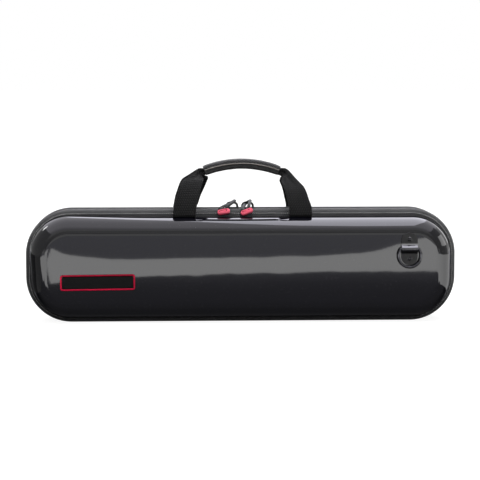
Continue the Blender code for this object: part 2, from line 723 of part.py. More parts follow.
def make_ring(name, side):
    """The strap ring, its origin on its bar, on which it swings."""
    radius = RING_WIDTH / 2 - RING_WIRE / 2
    bow = RING_DROP - RING_WIRE - radius
    corner = [(radius * across, -radius * down) for across, down in RING_CORNER_SHARES]
    points = list(corner)
    for step in range(RING_STEPS + 1):
        angle = math.pi * step / RING_STEPS
        points.append((radius * math.cos(angle), -bow - radius * math.sin(angle)))
    points += [(-x, z) for x, z in corner[::-1]]
    path = [(x, 0, z) for x, z in points]
    wire(name, path, RING_WIRE / 2, "metal", (-side * RING_X, side * RING_Y, RING_BAR_Z), closed=True)


def make_screws(half_name, side):
    """The two screws through a bracket and its shell, and the washers behind them."""
    x = -side * RING_X
    head = BRACKET_Y + BRACKET_WALL + CLEARANCE / 2
    washer_front = SHELL_BACK - CLEARANCE
    for place, z in screw_places().items():
        name = f"{half_name}_ring_screw_{place}"
        stations = (
            (washer_front - WASHER_WALL - SCREW_TAIL / 2, SCREW_SHANK_RADIUS),
            (head, SCREW_SHANK_RADIUS),
            (head, SCREW_HEAD_RADIUS),
            (head + SCREW_HEAD_WALL / 2, SCREW_HEAD_RADIUS),
            (head + SCREW_HEAD_WALL, SCREW_HEAD_RADIUS - SCREW_HEAD_WALL / 2),
        )
        rings = [
            [(x + a, side * depth, z + b) for a, b in circle(radius, SCREW_SIDES)]
            for depth, radius in stations
        ]
        add(name, mesh_of(name, skin(rings, around=True, caps=True)), "metal")
        name = f"{half_name}_ring_washer_{place}"
        ends = sorted((side * (washer_front - WASHER_WALL), side * washer_front))
        washer = slab(circle(WASHER_RADIUS, SCREW_SIDES), (x, z), *ends)
        washer = add(name, mesh_of(name, washer), "metal")
        hole = slab(circle(SCREW_SHANK_RADIUS + CLEARANCE, SCREW_SIDES), (x, z),
                    ends[0] - OVERRUN, ends[1] + OVERRUN)
        cut(washer, add(name + "_hole", mesh_of("hole", hole), None, shown=False))


def make_badge():
    """The badge on the front shell: a border and a bare field."""
    centre = (BADGE_X, BADGE_Z)
    face = -HALF_DEPTH - CLEARANCE
    shape = turned(rounded_rectangle(BADGE_LENGTH, BADGE_HEIGHT, BADGE_CORNER, BADGE_STEPS), BADGE_TILT)
    frame = add("badge_frame", mesh_of("badge_frame", slab(shape, centre, face - BADGE_WALL, face)), "badge_border")
    inner = (BADGE_LENGTH - 2 * BADGE_BORDER, BADGE_HEIGHT - 2 * BADGE_BORDER)
    radius = BADGE_CORNER / 2
    window = turned(rounded_rectangle(*inner, radius, BADGE_STEPS), BADGE_TILT)
    window = slab(window, centre, face - BADGE_WALL - OVERRUN, face + OVERRUN)
    cut(frame, add("badge_window", mesh_of("badge_window", window), None, shown=False))
    size = (inner[0] - 2 * CLEARANCE, inner[1] - 2 * CLEARANCE)
    field = turned(rounded_rectangle(*size, radius, BADGE_STEPS), BADGE_TILT)
    field = slab(field, centre, face - BADGE_FIELD_WALL, face)
    add("badge_field", mesh_of("badge_field", field), "badge_field")


def make_hinge_fabric():
    """The fabric that joins the two bands along the bottom, between the ends of the zip."""
    half = HALF_LENGTH - OUTLINE_RADIUS - HINGE_END_GAP
    rings = [
        [(x, -TAPE_HALF_WIDTH, z), (x, TAPE_HALF_WIDTH, z)]
        for x, z in (
            (-half, HINGE_INSET), (half, HINGE_INSET),
            (half, HINGE_INSET + HINGE_WALL), (-half, HINGE_INSET + HINGE_WALL),
        )
    ]
    loops = [list(loop) for loop in zip(*rings)]
    add("hinge_fabric", mesh_of("hinge_fabric", skin(loops, around=True, caps=True)), "band")


def padding(name, side, section):
    """A block that fills a shell's inside, through (inset, depth) rings."""
    loops = [[(x, side * depth, z) for x, z in outline(inset)] for inset, depth in section]
    return add(name, mesh_of(name, skin(loops, around=True, caps=True)), "foam")


def foam_turn():
    """(inset, depth) of the foam's bevel into the shell's shoulder."""
    return [
        (FOAM_INSET, FOAM_SIDE_DEPTH),
        (FOAM_INSET + FOAM_TURN_INSET / 6, (FOAM_SIDE_DEPTH + FOAM_BACK) / 2),
        (FOAM_INSET + FOAM_TURN_INSET / 2, FOAM_BACK - FOAM_BACK_SPACE),
        (FOAM_INSET + FOAM_TURN_INSET, FOAM_BACK),
    ]


def pocket_places():
    """Each pocket's middle (x, z) and size (length, height, depth) in the foam bed: the body's at the
    top, the head joint's and the foot joint's side by side below it, and the rod's between."""
    top = CASE_HEIGHT - POCKET_TOP_INSET
    body_z = top - BODY_POCKET[1] / 2
    rod_z = top - BODY_POCKET[1] - POCKET_WALL - ROD_POCKET[1] / 2
    row_top = rod_z - ROD_POCKET[1] / 2 - POCKET_WALL
    row_z = row_top - max(HEAD_POCKET[1], FOOT_POCKET[1]) / 2
    row = HEAD_POCKET[0] + POCKET_GAP + FOOT_POCKET[0]
    return {
        "body": ((0, body_z), BODY_POCKET),
        "rod": ((0, rod_z), ROD_POCKET),
        "head": ((-row / 2 + HEAD_POCKET[0] / 2, row_z), HEAD_POCKET),
        "foot": ((row / 2 - FOOT_POCKET[0] / 2, row_z), FOOT_POCKET),
    }


def make_padding():
    """The foam bed with its pockets in the rear half; the foam block and the plush pad in the lid."""
    bed = padding("foam_bed", REAR, [(FOAM_INSET, FOAM_FACE), *foam_turn()])
    for name, (centre, (length, height, depth)) in pocket_places().items():
        corners = rounded_rectangle(length, height, POCKET_CORNER, POCKET_STEPS)
        hollow = slab(corners, centre, FOAM_FACE - OVERRUN, FOAM_FACE + depth)
        cut(bed, add(f"{name}_pocket", mesh_of(name, hollow), None, shown=False))
    pad_back = FOAM_FACE + PAD_WALL
    padding("lid_pad", FRONT, [(FOAM_INSET, FOAM_FACE), (FOAM_INSET, pad_back)])
    padding("lid_foam", FRONT, [(FOAM_INSET, pad_back + CLEARANCE), *foam_turn()])


clear_scene()
CASE = collection("flute_case", True)
CUTTERS = collection("cutters", False)
for half_name, side in (("rear", REAR), ("front", FRONT)):
    make_shell(half_name + "_shell", side)
    make_band(half_name + "_band", side)
    make_zip_tape(half_name + "_zip_tape", side)
    make_strap(half_name + "_handle_strap", side)
    make_ring_bracket(half_name + "_ring_bracket", side)
    make_ring(half_name + "_strap_ring", side)
    make_screws(half_name, side)
make_grip()
make_badge()
make_hinge_fabric()
make_padding()
for hand_name, hand in (("left", LEFT), ("right", RIGHT)):
    make_slider(hand_name, hand)
    make_pull(hand_name, hand)
bpy.context.view_layer.update()
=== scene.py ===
"""The looks of the flute case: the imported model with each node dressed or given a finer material,
and a plain studio round it. Lengths are in metres, in the model's own frame."""

import bisect
import math

import bmesh
import bpy
from mathutils import Matrix, Vector, noise


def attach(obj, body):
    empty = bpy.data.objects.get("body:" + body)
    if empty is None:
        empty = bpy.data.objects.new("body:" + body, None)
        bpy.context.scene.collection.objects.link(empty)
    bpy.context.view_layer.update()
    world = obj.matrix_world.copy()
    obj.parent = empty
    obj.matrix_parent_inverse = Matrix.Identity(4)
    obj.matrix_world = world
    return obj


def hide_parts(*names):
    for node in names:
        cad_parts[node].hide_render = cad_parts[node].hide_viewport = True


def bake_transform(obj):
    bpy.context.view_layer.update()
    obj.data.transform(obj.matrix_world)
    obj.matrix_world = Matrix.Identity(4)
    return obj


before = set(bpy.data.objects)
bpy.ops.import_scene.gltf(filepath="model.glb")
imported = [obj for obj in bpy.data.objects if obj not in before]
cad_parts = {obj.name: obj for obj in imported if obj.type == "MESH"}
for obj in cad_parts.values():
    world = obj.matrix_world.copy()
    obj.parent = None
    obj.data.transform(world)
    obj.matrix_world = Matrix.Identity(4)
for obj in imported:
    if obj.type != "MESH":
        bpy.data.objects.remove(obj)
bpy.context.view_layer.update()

# The case's own sizes, as in its solids
CASE_LENGTH = 0.4425
CASE_HEIGHT = 0.116
CORNER_RADIUS = 0.0465
HALF_DEPTH = 0.040
CLEARANCE = 0.0003
BAND_RIM_DEPTH = 0.020
BAND_ROLL_HEIGHT = 0.0067
BAND_ROLL_DEPTH = 0.0062
BAND_START = 0.0105
BAND_FOOT = 0.0091
BAND_WALL = 0.0035
SHOULDER_WIDTH = 0.0135
SHELL_DROP = 0.0008
SHELL_REACH = 0.0009
SHOULDER_TURN = 78.0
SHELL_WALL = 0.0016
COIL_INSET = 0.0013
TAPE_HALF_WIDTH = 0.0102
STRIP_WALL = 0.0004
SLIDER_X = {"left": -0.0093, "right": 0.0069}
SLIDER_LENGTH = 0.0146
SLIDER_TOP = 0.00095
ARCH_CROWN = 0.00565
HOOK_RADIUS = 0.0023
PULL_NECK = 0.0026
LEG_SPREAD = 0.0036
SLEEVE_SIZE = (0.0132, 0.0056, 0.0034)
SLEEVE_SOCKET = 0.0030
SLEEVE_PITCH = 62.0
SLEEVE_LEAN = {"left": 0.0091, "right": 0.0017}
SLEEVE_TILT = {"left": 9.5, "right": 22.0}
HANDLE_X = 0.0007
STRAP_SPREAD = 0.0596
STRAP_WIDTH = 0.0232
STRAP_WALL = 0.0013
STRAP_Y = 0.0253
GRIP_TOP_Z = 0.1669
GRIP_BEND_RADIUS = 0.112
GRIP_LENGTH = 0.0825
GRIP_DEPTH = 0.020
GRIP_HEIGHT = 0.0100
GRIP_FLAP = 0.0032
GRIP_STRAP_Y = 0.0045
RING_X = 0.17045
RING_Y = 0.0432
RING_BAR_Z = 0.0766
RING_WIRE = 0.0028
RING_WIDTH = 0.0256
RING_DROP = 0.0215
SCREW_SPACING = 0.0198
BRACKET_FACE = 0.0415
BADGE_CENTRE = (-0.14705, 0.0434)
BADGE_SIZE = (0.0760, 0.0162)
BADGE_TILT = 0.6
REAR, FRONT = 1, -1
BODY = {REAR: "rear_case", FRONT: "front_case"}
HALF_NAME = {REAR: "rear", FRONT: "front"}


# Materials


class Look:
    """A material with helpers that add and join nodes."""

    def __init__(self, name, color, roughness, metallic=0.0, **settings):
        self.material = bpy.data.materials.new(name)
        self.material.use_nodes = True
        self.tree = self.material.node_tree
        self.shader = self.tree.nodes["Principled BSDF"]
        self.shader.inputs["Base Color"].default_value = (*color, 1)
        self.shader.inputs["Roughness"].default_value = roughness
        self.shader.inputs["Metallic"].default_value = metallic
        for key, value in settings.items():
            self.shader.inputs[key.replace("_", " ")].default_value = value

    def node(self, kind, **settings):
        node = self.tree.nodes.new("ShaderNode" + kind)
        for key, value in settings.items():
            setattr(node, key, value)
        return node

    def put(self, socket, value):
        if isinstance(value, bpy.types.NodeSocket):
            self.tree.links.new(value, socket)
        else:
            socket.default_value = value

    def math(self, operation, a, b=0.0, c=0.0):
        node = self.node("Math", operation=operation)
        for socket, value in zip(node.inputs, (a, b, c)):
            self.put(socket, value)
        return node.outputs[0]

    def place(self, scale=1.0, stretch=(1, 1, 1)):
        """The object's own coordinates, scaled and stretched."""
        mapping = self.node("Mapping")
        mapping.inputs["Scale"].default_value = [scale * s for s in stretch]
        self.put(mapping.inputs["Vector"], self.node("TexCoord").outputs["Object"])
        return mapping.outputs[0]

    def split(self, vector):
        node = self.node("SeparateXYZ")
        self.put(node.inputs[0], vector)
        return node.outputs

    def noise(self, scale, detail=2.0, rough=0.5, stretch=(1, 1, 1)):
        node = self.node("TexNoise")
        node.inputs["Scale"].default_value = 1.0
        node.inputs["Detail"].default_value = detail
        node.inputs["Roughness"].default_value = rough
        self.put(node.inputs["Vector"], self.place(scale, stretch))
        return node.outputs["Fac"]

    def ramp(self, value, stops):
        """A colour from stops of (position, colour or grey)."""
        node = self.node("ValToRGB")
        ramp = node.color_ramp
        while len(ramp.elements) < len(stops):
            ramp.elements.new(0.5)
        for element, (position, color) in zip(ramp.elements, stops):
            element.position = position
            element.color = (*color, 1) if isinstance(color, tuple) else (color, color, color, 1)
        self.put(node.inputs[0], value)
        return node.outputs[0]

    def mix(self, fac, a, b):
        node = self.node("Mix", data_type="RGBA")
        self.put(node.inputs[0], fac)
        for socket, value in ((node.inputs[6], a), (node.inputs[7], b)):
            self.put(socket, (*value, 1) if isinstance(value, tuple) else value)
        return node.outputs[2]

    def range(self, value, low, high, start=0.0, end=1.0):
        """A value between start and end, carried over to between low and high."""
        node = self.node("MapRange")
        for socket, number in zip(node.inputs, (value, start, end, low, high)):
            self.put(socket, number)
        return node.outputs[0]

    def bump(self, height, distance, strength=1.0, under=None):
        node = self.node("Bump")
        node.inputs["Strength"].default_value = strength
        node.inputs["Distance"].default_value = distance
        self.put(node.inputs["Height"], height)
        if under is not None:
            self.put(node.inputs["Normal"], under)
        return node.outputs[0]

    def edges(self, radius):
        """1 along edges and 0 on the faces between them: wear on the cast metal, a painted highlight on the
        screws.
        """
        bevel = self.node("Bevel", samples=4)
        bevel.inputs["Radius"].default_value = radius
        edge = self.node("VectorMath", operation="DOT_PRODUCT")
        self.put(edge.inputs[0], bevel.outputs[0])
        self.put(edge.inputs[1], self.node("NewGeometry").outputs["Normal"])
        return self.range(edge.outputs["Value"], 1.0, 0.0, 0.80, 0.985)

    def set(self, name, value):
        self.put(self.shader.inputs[name], value)

    def emit(self, strength, color=None):
        """An emission shader's output, with a number, a colour or sockets for its inputs."""
        glow = self.node("Emission")
        self.put(glow.inputs["Strength"], strength)
        if color is not None:
            self.put(glow.inputs["Color"], color)
        return glow.outputs[0]

    def finish(self, shader):
        self.put(self.tree.nodes["Material Output"].inputs["Surface"], shader)

    def weave(self, pitch_u, pitch_v, slant=0.0):
        """Height of a plain weave, from 0 between threads to 1 on top, and 1 where the weft lies
        over the warp."""
        u, v, _ = self.split(self.node("UVMap", uv_map="cloth").outputs[0])
        u = self.math("MULTIPLY", u, 1 / pitch_u)
        v = self.math("MULTIPLY", v, 1 / pitch_v)
        if slant:
            v = self.math("ADD", v, self.math("MULTIPLY", self.math("FLOOR", u), slant))
        waves = [self.math("ABSOLUTE", self.math("SINE", self.math("MULTIPLY", way, math.pi)))
                 for way in (u, v)]
        warp, weft = [
            self.math("MULTIPLY", self.math("SQRT", own), self.math("MULTIPLY_ADD", other, 0.5, 0.5))
            for own, other in (waves, waves[::-1])]
        crossing = self.math("ADD", self.math("FLOOR", u), self.math("FLOOR", v))
        over = self.math("FLOORED_MODULO", crossing, 2.0)
        return self.math("MULTIPLY_ADD", self.math("SUBTRACT", weft, warp), over, warp), over


def cloth(name, dark, light, pitch, depth, rough=0.85, slant=0.0, sheen=0.25, shine=0.22):
    """Woven cloth: threads with their own height and shade, painted shade between them, uneven dye and a
    little fuzz.
    """
    look = Look(name, dark, rough, Sheen_Weight=sheen, Sheen_Roughness=0.45, Specular_IOR_Level=shine)
    height, weft = look.weave(*pitch, slant=slant)
    dye = look.noise(70, 3.0)
    fibres = look.noise(2600, 2.0, 0.7)
    shade = look.math("MULTIPLY_ADD", dye, 0.55, look.math("MULTIPLY", fibres, 0.35))
    # Darkest in the gaps between the threads, where shade falls: painted shade.
    raised = look.math("MULTIPLY_ADD", height, 0.75, 0.25)
    shade = look.math("MULTIPLY", raised, look.math("ADD", shade, 0.25))
    shade = look.math("MULTIPLY", shade, look.math("MULTIPLY_ADD", weft, 1.0, 0.5))
    look.set("Base Color", look.mix(look.range(shade, 0, 1, 0.1, 0.9), dark, light))
    look.set("Roughness", look.range(fibres, rough - 0.12, rough + 0.1))
    threads = look.bump(height, depth, 0.9)
    look.set("Normal", look.bump(fibres, depth / 4, 0.5, threads))
    return look


# Each cloth's name, dark and light thread, pitch along and across, thread height and other settings
CLOTHS = {
    "band": ("band_woven_nylon", (0.020, 0.020, 0.021), (0.112, 0.113, 0.117), (0.0011, 0.0011), 0.0004, {}),
    # The seam's stitches are real; their pale thread stands in for the highlight along the roll: painted
    # highlight.
    "band_seam": ("band_seam_cord", (0.22, 0.22, 0.22), (0.74, 0.74, 0.745), (0.0016, 0.0009), 0.0004, {}),
    "tape": ("zip_tape_weave", (0.016, 0.016, 0.017), (0.075, 0.075, 0.078), (0.0007, 0.0012), 0.0002,
             {"slant": 0.5}),
    "webbing": ("webbing_ribbed_nylon", (0.004, 0.004, 0.004), (0.036, 0.036, 0.0367), (0.0025, 0.0009),
                0.0004, {"rough": 0.8, "slant": 0.25, "sheen": 0.04, "shine": 0.1}),
    "grip": ("grip_ballistic_nylon", (0.006, 0.006, 0.006), (0.050, 0.050, 0.052), (0.0012, 0.0012), 0.0004,
             {"rough": 0.75, "slant": 0.5, "sheen": 0.3}),
    "grip_lining": ("grip_lining", (0.028, 0.028, 0.028), (0.095, 0.095, 0.0957), (0.0006, 0.0006), 0.0001,
                    {"rough": 0.75, "sheen": 0.05, "shine": 0.12}),
    "thread": ("sewing_thread", (0.05, 0.05, 0.05), (0.17, 0.17, 0.175), (0.0003, 0.0003), 0.0001,
               {"rough": 0.6}),
    # The piping is real; its pale brown stands in for the light line along the flap: painted highlight.
    "binding": ("grip_binding", (0.27, 0.25, 0.23), (0.36, 0.33, 0.30), (0.0008, 0.0005), 0.0002,
                {"rough": 0.6}),
}


def coated(name, color, rough, metallic, tone, shades, span, grain=None, bump=None, **settings):
    """A coated surface: its shade follows one noise, its roughness and fine bump the same or another."""
    look = Look(name, color, rough, metallic, IOR=1.5, **settings)
    cast = look.noise(*tone)
    fine = look.noise(*grain) if grain else cast
    look.set("Base Color", look.ramp(cast, shades))
    look.set("Roughness", look.range(fine, *span))
    if bump:
        look.set("Normal", look.bump(fine, *bump))
    return look


COATED = {
    "coil": {
        "name": "zip_coil_nylon", "color": (0.020, 0.020, 0.021), "rough": 0.38, "metallic": 0.0,
        "tone": (900, 2.0), "shades": ((0.3, 0.014), (0.7, 0.036)), "span": (0.3, 0.5)},
    "plate": {
        "name": "bracket_black_enamel", "color": (0.018, 0.018, 0.018), "rough": 0.42, "metallic": 0.3,
        "tone": (130, 3.0), "shades": ((0.3, 0.013), (0.7, 0.027)), "span": (0.36, 0.52),
        "grain": (1300, 2.0), "bump": (0.00005, 0.5), "Specular_IOR_Level": 0.35},
    "pull": {
        "name": "pull_strip_enamel", "color": (0.10, 0.11, 0.09), "rough": 0.4, "metallic": 0.0,
        "tone": (500, 3.0, 0.6), "shades": ((0.25, (0.007, 0.008, 0.007)), (0.75, (0.020, 0.022, 0.018))),
        "span": (0.36, 0.52), "bump": (0.00003, 0.5), "Specular_IOR_Level": 0.1},
    "rubber": {
        "name": "pull_sleeve_rubber", "color": (0.90, 0.075, 0.155), "rough": 0.52, "metallic": 0.0,
        "tone": (260, 3.0, 0.6), "shades": ((0.25, (0.80, 0.042, 0.105)), (0.75, (0.96, 0.105, 0.190))),
        "span": (0.42, 0.62), "grain": (2400, 2.0, 0.6), "bump": (0.00012, 0.6), "Sheen_Weight": 0.1},
    "red": {
        "name": "badge_border_enamel", "color": (0.85, 0.006, 0.060), "rough": 0.34, "metallic": 0.85,
        "tone": (500, 3.0), "shades": ((0.3, (0.36, 0.003, 0.024)), (0.7, (0.50, 0.005, 0.040))),
        "span": (0.25, 0.38)},
    "black": {
        "name": "badge_field_enamel", "color": (0.006, 0.006, 0.007), "rough": 0.55, "metallic": 0.0,
        "tone": (1800, 2.0, 0.6, (0.05, 1, 1)), "shades": ((0.3, 0.002), (0.7, 0.006)),
        "span": (0.48, 0.62), "bump": (0.00003, 0.5), "Specular_IOR_Level": 0.12},
}

# Radius of the edge mask: real wear on the cast metal, a painted highlight on the screws and the pulls' webs
EDGE_MASK_RADIUS = 0.0005

# Each polished metal's name, colour and roughness, and the colour of its edges, a painted highlight, where
# given
POLISHED = {
    "cover": ("bracket_cover_nickel", (0.092, 0.092, 0.094), 0.16, None),
    "ring": ("ring_black_nickel", (0.055, 0.055, 0.06), 0.12, None),
    # The screws' pale edges stand in for the lit slot: painted highlight
    "screw": ("screw_black_nickel", (0.022, 0.022, 0.024), 0.2, (0.62, 0.62, 0.61)),
}


# Polished metal with a fine grain; edges given a colour get it as a painted highlight and lose their metal.
def polished(name, color, rough, highlight_color):
    look = Look(name, color, rough, 0.95, IOR=1.5)
    grain = look.noise(700, 3.0, 0.6, (0.15, 1, 1))
    shade = look.mix(look.range(grain, 0, 1, 0.3, 0.7), tuple(c * 0.72 for c in color), color)
    if highlight_color:
        # These pale edges are a painted highlight, not wear.
        worn = look.edges(EDGE_MASK_RADIUS)
        shade = look.mix(worn, shade, highlight_color)
        look.set("Metallic", look.range(worn, 0.8, 0.0))
    look.set("Base Color", shade)
    look.set("Roughness", look.range(grain, rough * 0.75, rough * 1.4))
    look.set("Normal", look.bump(grain, 0.00002, 0.4))
    return look


def cast_metal():
    """Black die-cast metal, a little paler along its worn edges."""
    look = Look("hardware_black_nickel", (0.03, 0.031, 0.029), 0.4, 0.2, IOR=1.5, Specular_IOR_Level=0.12)
    cast = look.noise(420, 3.0, 0.6)
    rub = look.range(look.noise(160, 4.0, 0.7), 0, 1, 0.4, 0.6)
    worn = look.math("MULTIPLY", look.edges(EDGE_MASK_RADIUS), rub)
    shade = look.ramp(cast, ((0.2, (0.005, 0.006, 0.005)), (0.8, (0.015, 0.016, 0.014))))
    look.set("Base Color", look.mix(worn, shade, (0.042, 0.042, 0.040)))
    look.set("Roughness", look.range(cast, 0.34, 0.50))
    look.set("Normal", look.bump(cast, 0.00004, 0.4))
    return look


def glossy_shell():
    """Glossy plastic with slow waves, faint scuffs and a few specks of dust."""
    color = (0.0035, 0.0034, 0.0062)
    look = Look("shell_gloss_polycarbonate", color, 0.04, IOR=1.52)
    scuffs = look.noise(900, 2.0, 0.8, (1, 1, 0.12))
    dust = look.math("GREATER_THAN", look.noise(1500, 1.0, 0.3), 0.775)
    look.set("Roughness", look.math("ADD", look.range(scuffs, 0.03, 0.06), look.math("MULTIPLY", dust, 0.5)))
    look.set("Base Color", look.mix(dust, color, (0.06, 0.06, 0.06)))
    wave = look.bump(look.noise(22, 2.0), 0.00035, 0.3)
    look.set("Normal", look.bump(scuffs, 0.00001, 0.25, wave))
    return look


def plush():
    look = Look("lining_plush", (0.030, 0.030, 0.034), 0.95, Sheen_Weight=0.9, Sheen_Roughness=0.35)
    pile = look.noise(1900, 3.0, 0.7)
    nap = look.noise(38, 3.0, 0.6)
    tone = look.math("MULTIPLY_ADD", nap, 0.7, look.math("MULTIPLY", pile, 0.5))
    look.set("Base Color", look.ramp(tone, ((0.3, (0.010, 0.010, 0.012)), (0.9, (0.062, 0.062, 0.070)))))
    look.set("Normal", look.bump(pile, 0.0005, 0.7))
    return look


def make_looks():
    looks = {"shell": glossy_shell(), "metal": cast_metal(), "plush": plush()}
    for key, (*settings, extra) in CLOTHS.items():
        looks[key] = cloth(*settings, **extra)
    for key, settings in COATED.items():
        looks[key] = coated(**settings)
    for key, settings in POLISHED.items():
        looks[key] = polished(*settings)
    return looks


# Mesh helpers


def outline(inset, corner_steps=24, long_steps=24, short_steps=3):
    """Points (x, z) of the case's outline drawn in by an inset, clockwise from the middle of the
    bottom."""
    share = min(max((inset - BAND_WALL) / (BAND_ROLL_HEIGHT - BAND_WALL), 0), 1)
    end, drop = CASE_LENGTH / 2 + SHELL_REACH * share - inset, SHELL_DROP * share
    radius = max(CORNER_RADIUS - inset, 0)
    across = end - radius
    bottom, top = inset - drop, CASE_HEIGHT - inset - drop
    low, high = bottom + radius, top - radius
    points = []

    def line(start, end, steps):
        for step in range(steps):
            points.append(Vector(start).lerp(Vector(end), step / steps))

    def corner(x, z, angle):
        for step in range(corner_steps):
            turn = math.radians(angle - 90 * step / corner_steps)
            points.append(Vector((x + radius * math.cos(turn), z + radius * math.sin(turn))))

    line((0, bottom), (-across, bottom), long_steps // 2)
    corner(-across, low, 270)
    line((-end, low), (-end, high), short_steps)
    corner(-across, high, 180)
    line((-across, top), (across, top), long_steps)
    corner(across, high, 90)
    line((end, high), (end, low), short_steps)
    corner(across, low, 0)
    line((across, bottom), (0, bottom), long_steps // 2)
    return points


def way_along(points, closed=True):
    """The length from the first point to each of the others, and at last to the first again."""
    total = [0.0]
    ring = list(points) + ([points[0]] if closed else [])
    for before, after in zip(ring, ring[1:]):
        total.append(total[-1] + (Vector(after) - Vector(before)).length)
    return total


def fine_path(inset, y, skipped):
    """A fine line round the case without its first and last points, its length, and a function
    that gives the point, the way on and the way out at a distance along it."""
    points = outline(inset, corner_steps=60, long_steps=200, short_steps=12)[skipped:-skipped]
    path = [Vector((p.x, y, p.y)) for p in points]
    along = way_along(path, closed=False)

    def at(distance):
        index = bisect.bisect_left(along, distance, 1) - 1
        start, end = path[index], path[index + 1]
        way = (end - start).normalized()
        share = (distance - along[index]) / (along[index + 1] - along[index])
        return start.lerp(end, share), way, Vector((0, 1, 0)).cross(way).normalized()

    return along[-1], at


def directions(points):
    """The way on at each of the points."""
    last = len(points) - 1
    return [(points[min(i + 1, last)] - points[max(i - 1, 0)]).normalized() for i in range(last + 1)]


def smooth_path(points, steps):
    """The points joined by an even curve, with a number of steps between each two."""
    ways = directions(points)
    path = []
    for i in range(len(points) - 1):
        start, end = points[i], points[i + 1]
        span = (end - start).length
        for step in range(steps):
            t = step / steps
            ahead = t * t * (3 - 2 * t)
            pull = ways[i] * span * t * (1 - t) ** 2 - ways[i + 1] * span * t * t * (1 - t)
            path.append(start.lerp(end, ahead) + pull)
    path.append(points[-1])
    return path


def evenly(length, steps):
    """Places from 0 to a length in even steps."""
    return [length * step / steps for step in range(steps + 1)]


def rounded(width, height, radius, steps=10):
    """Points of a rectangle with rounded corners round the origin."""
    radius = min(radius, 0.499 * width, 0.499 * height)
    points = []
    for quarter in range(4):
        x = (width / 2 - radius) * (1 if quarter in (0, 3) else -1)
        y = (height / 2 - radius) * (1 if quarter in (0, 1) else -1)
        for step in range(steps + 1):
            angle = math.radians(90 * (quarter + step / steps))
            points.append(Vector((x + radius * math.cos(angle), y + radius * math.sin(angle))))
    return points


def squared(angle, power):
    """The point at an angle on a circle of radius 1 that is squared off by a power."""
    c, s = math.cos(angle), math.sin(angle)
    share = (abs(c) ** power + abs(s) ** power) ** (-1 / power)
    return c * share, s * share


def arc(centre, radius, start, end, steps):
    turns = [math.radians(start + (end - start) * i / steps) for i in range(steps + 1)]
    return [(centre[0] + radius * math.cos(turn), centre[1] - radius * math.sin(turn)) for turn in turns]


def turned(points, degrees):
    angle = math.radians(degrees)
    c, s = math.cos(angle), math.sin(angle)
    return [(p[0] * c - p[1] * s, p[0] * s + p[1] * c) for p in points]


def eased(value, start, end):
    share = min(max((value - start) / (end - start), 0), 1)
    return share * share * (3 - 2 * share)


def new_object(name, data):
    obj = bpy.data.objects.new(name, data)
    bpy.context.scene.collection.objects.link(obj)
    return obj


def finish_mesh(name, bm, look, angle=40):
    data = bpy.data.meshes.new(name)
    bm.to_mesh(data)
    bm.free()
    data.shade_smooth()
    data.set_sharp_from_angle(angle=math.radians(angle))
    data.materials.append(look.material)
    return new_object(name, data)


def surface(name, grid, look, us=None, vs=None, wrap_i=False, wrap_j=False, caps=False):
    """A mesh through a grid of points, with the cloth's own coordinates along both ways."""
    bm = bmesh.new()
    layer = bm.loops.layers.uv.new("cloth")
    verts = [[bm.verts.new(point) for point in row] for row in grid]
    rows, columns = len(grid), len(grid[0])
    us, vs = us or range(rows + 1), vs or range(columns + 1)
    for i in range(rows if wrap_i else rows - 1):
        for j in range(columns if wrap_j else columns - 1):
            corners = ((i, j), (i, j + 1), (i + 1, j + 1), (i + 1, j))
            face = bm.faces.new([verts[a % rows][b % columns] for a, b in corners])
            for loop, (a, b) in zip(face.loops, corners):
                loop[layer].uv = (us[a], vs[b])
    if caps:
        bm.faces.new(verts[0])
        bm.faces.new(verts[-1][::-1])
    bmesh.ops.remove_doubles(bm, verts=bm.verts, dist=0.000005)
    bmesh.ops.recalc_face_normals(bm, faces=bm.faces)
    return finish_mesh(name, bm, look)


def solid(name, grid, look, **settings):
    """A closed solid through rings of points."""
    return surface(name, grid, look, wrap_j=True, caps=True, **settings)


def sewn(name, threads, look, caps=True):
    """Short threads with six sides. Each is a list of (middle, up, across, radius) along it."""
    bm = bmesh.new()
    layer = bm.loops.layers.uv.new("cloth")
    turns = [math.pi / 3 * i for i in range(6)]
    for thread in threads:
        rings = [[bm.verts.new(middle + (up * math.cos(t) + across * math.sin(t)) * radius) for t in turns]
                 for middle, up, across, radius in thread]
        for a, b in zip(rings, rings[1:]):
            for i in range(6):
                face = bm.faces.new((a[i], a[(i + 1) % 6], b[(i + 1) % 6], b[i]))
                for loop in face.loops:
                    loop[layer].uv = (loop.vert.co.x, loop.vert.co.z)
        if caps:
            bm.faces.new(rings[0])
            bm.faces.new(rings[-1][::-1])
    bmesh.ops.recalc_face_normals(bm, faces=bm.faces)
    return finish_mesh(name, bm, look, 80)


def box(name, centre, size, look):
    bm = bmesh.new()
    bmesh.ops.create_cube(bm, size=1.0)
    for vert in bm.verts:
        vert.co = [middle + way * reach for middle, way, reach in zip(centre, vert.co, size)]
    return finish_mesh(name, bm, look)


def wire(name, points, radius, look, sides):
    data = bpy.data.curves.new(name, "CURVE")
    data.dimensions = "3D"
    data.bevel_depth = radius
    data.bevel_resolution = sides
    data.use_fill_caps = True
    spline = data.splines.new("POLY")
    spline.points.add(len(points) - 1)
    for point, place in zip(spline.points, points):
        point.co = (*place, 1)
    data.materials.append(look.material)
    return as_mesh(new_object(name, data))


def as_mesh(obj):
    """The object with its modifiers, or its curve, made plain mesh."""
    bpy.context.view_layer.update()
    graph = bpy.context.evaluated_depsgraph_get()
    data = bpy.data.meshes.new_from_object(obj.evaluated_get(graph))
    name = obj.name
    place = obj.matrix_world.copy()
    bpy.data.objects.remove(obj, do_unlink=True)
    plain = new_object(name, data)
    plain.matrix_world = place
    return plain


def modify(obj, kind, **settings):
    modifier = obj.modifiers.new(kind.title(), kind)
    for key, value in settings.items():
        setattr(modifier, key, value)


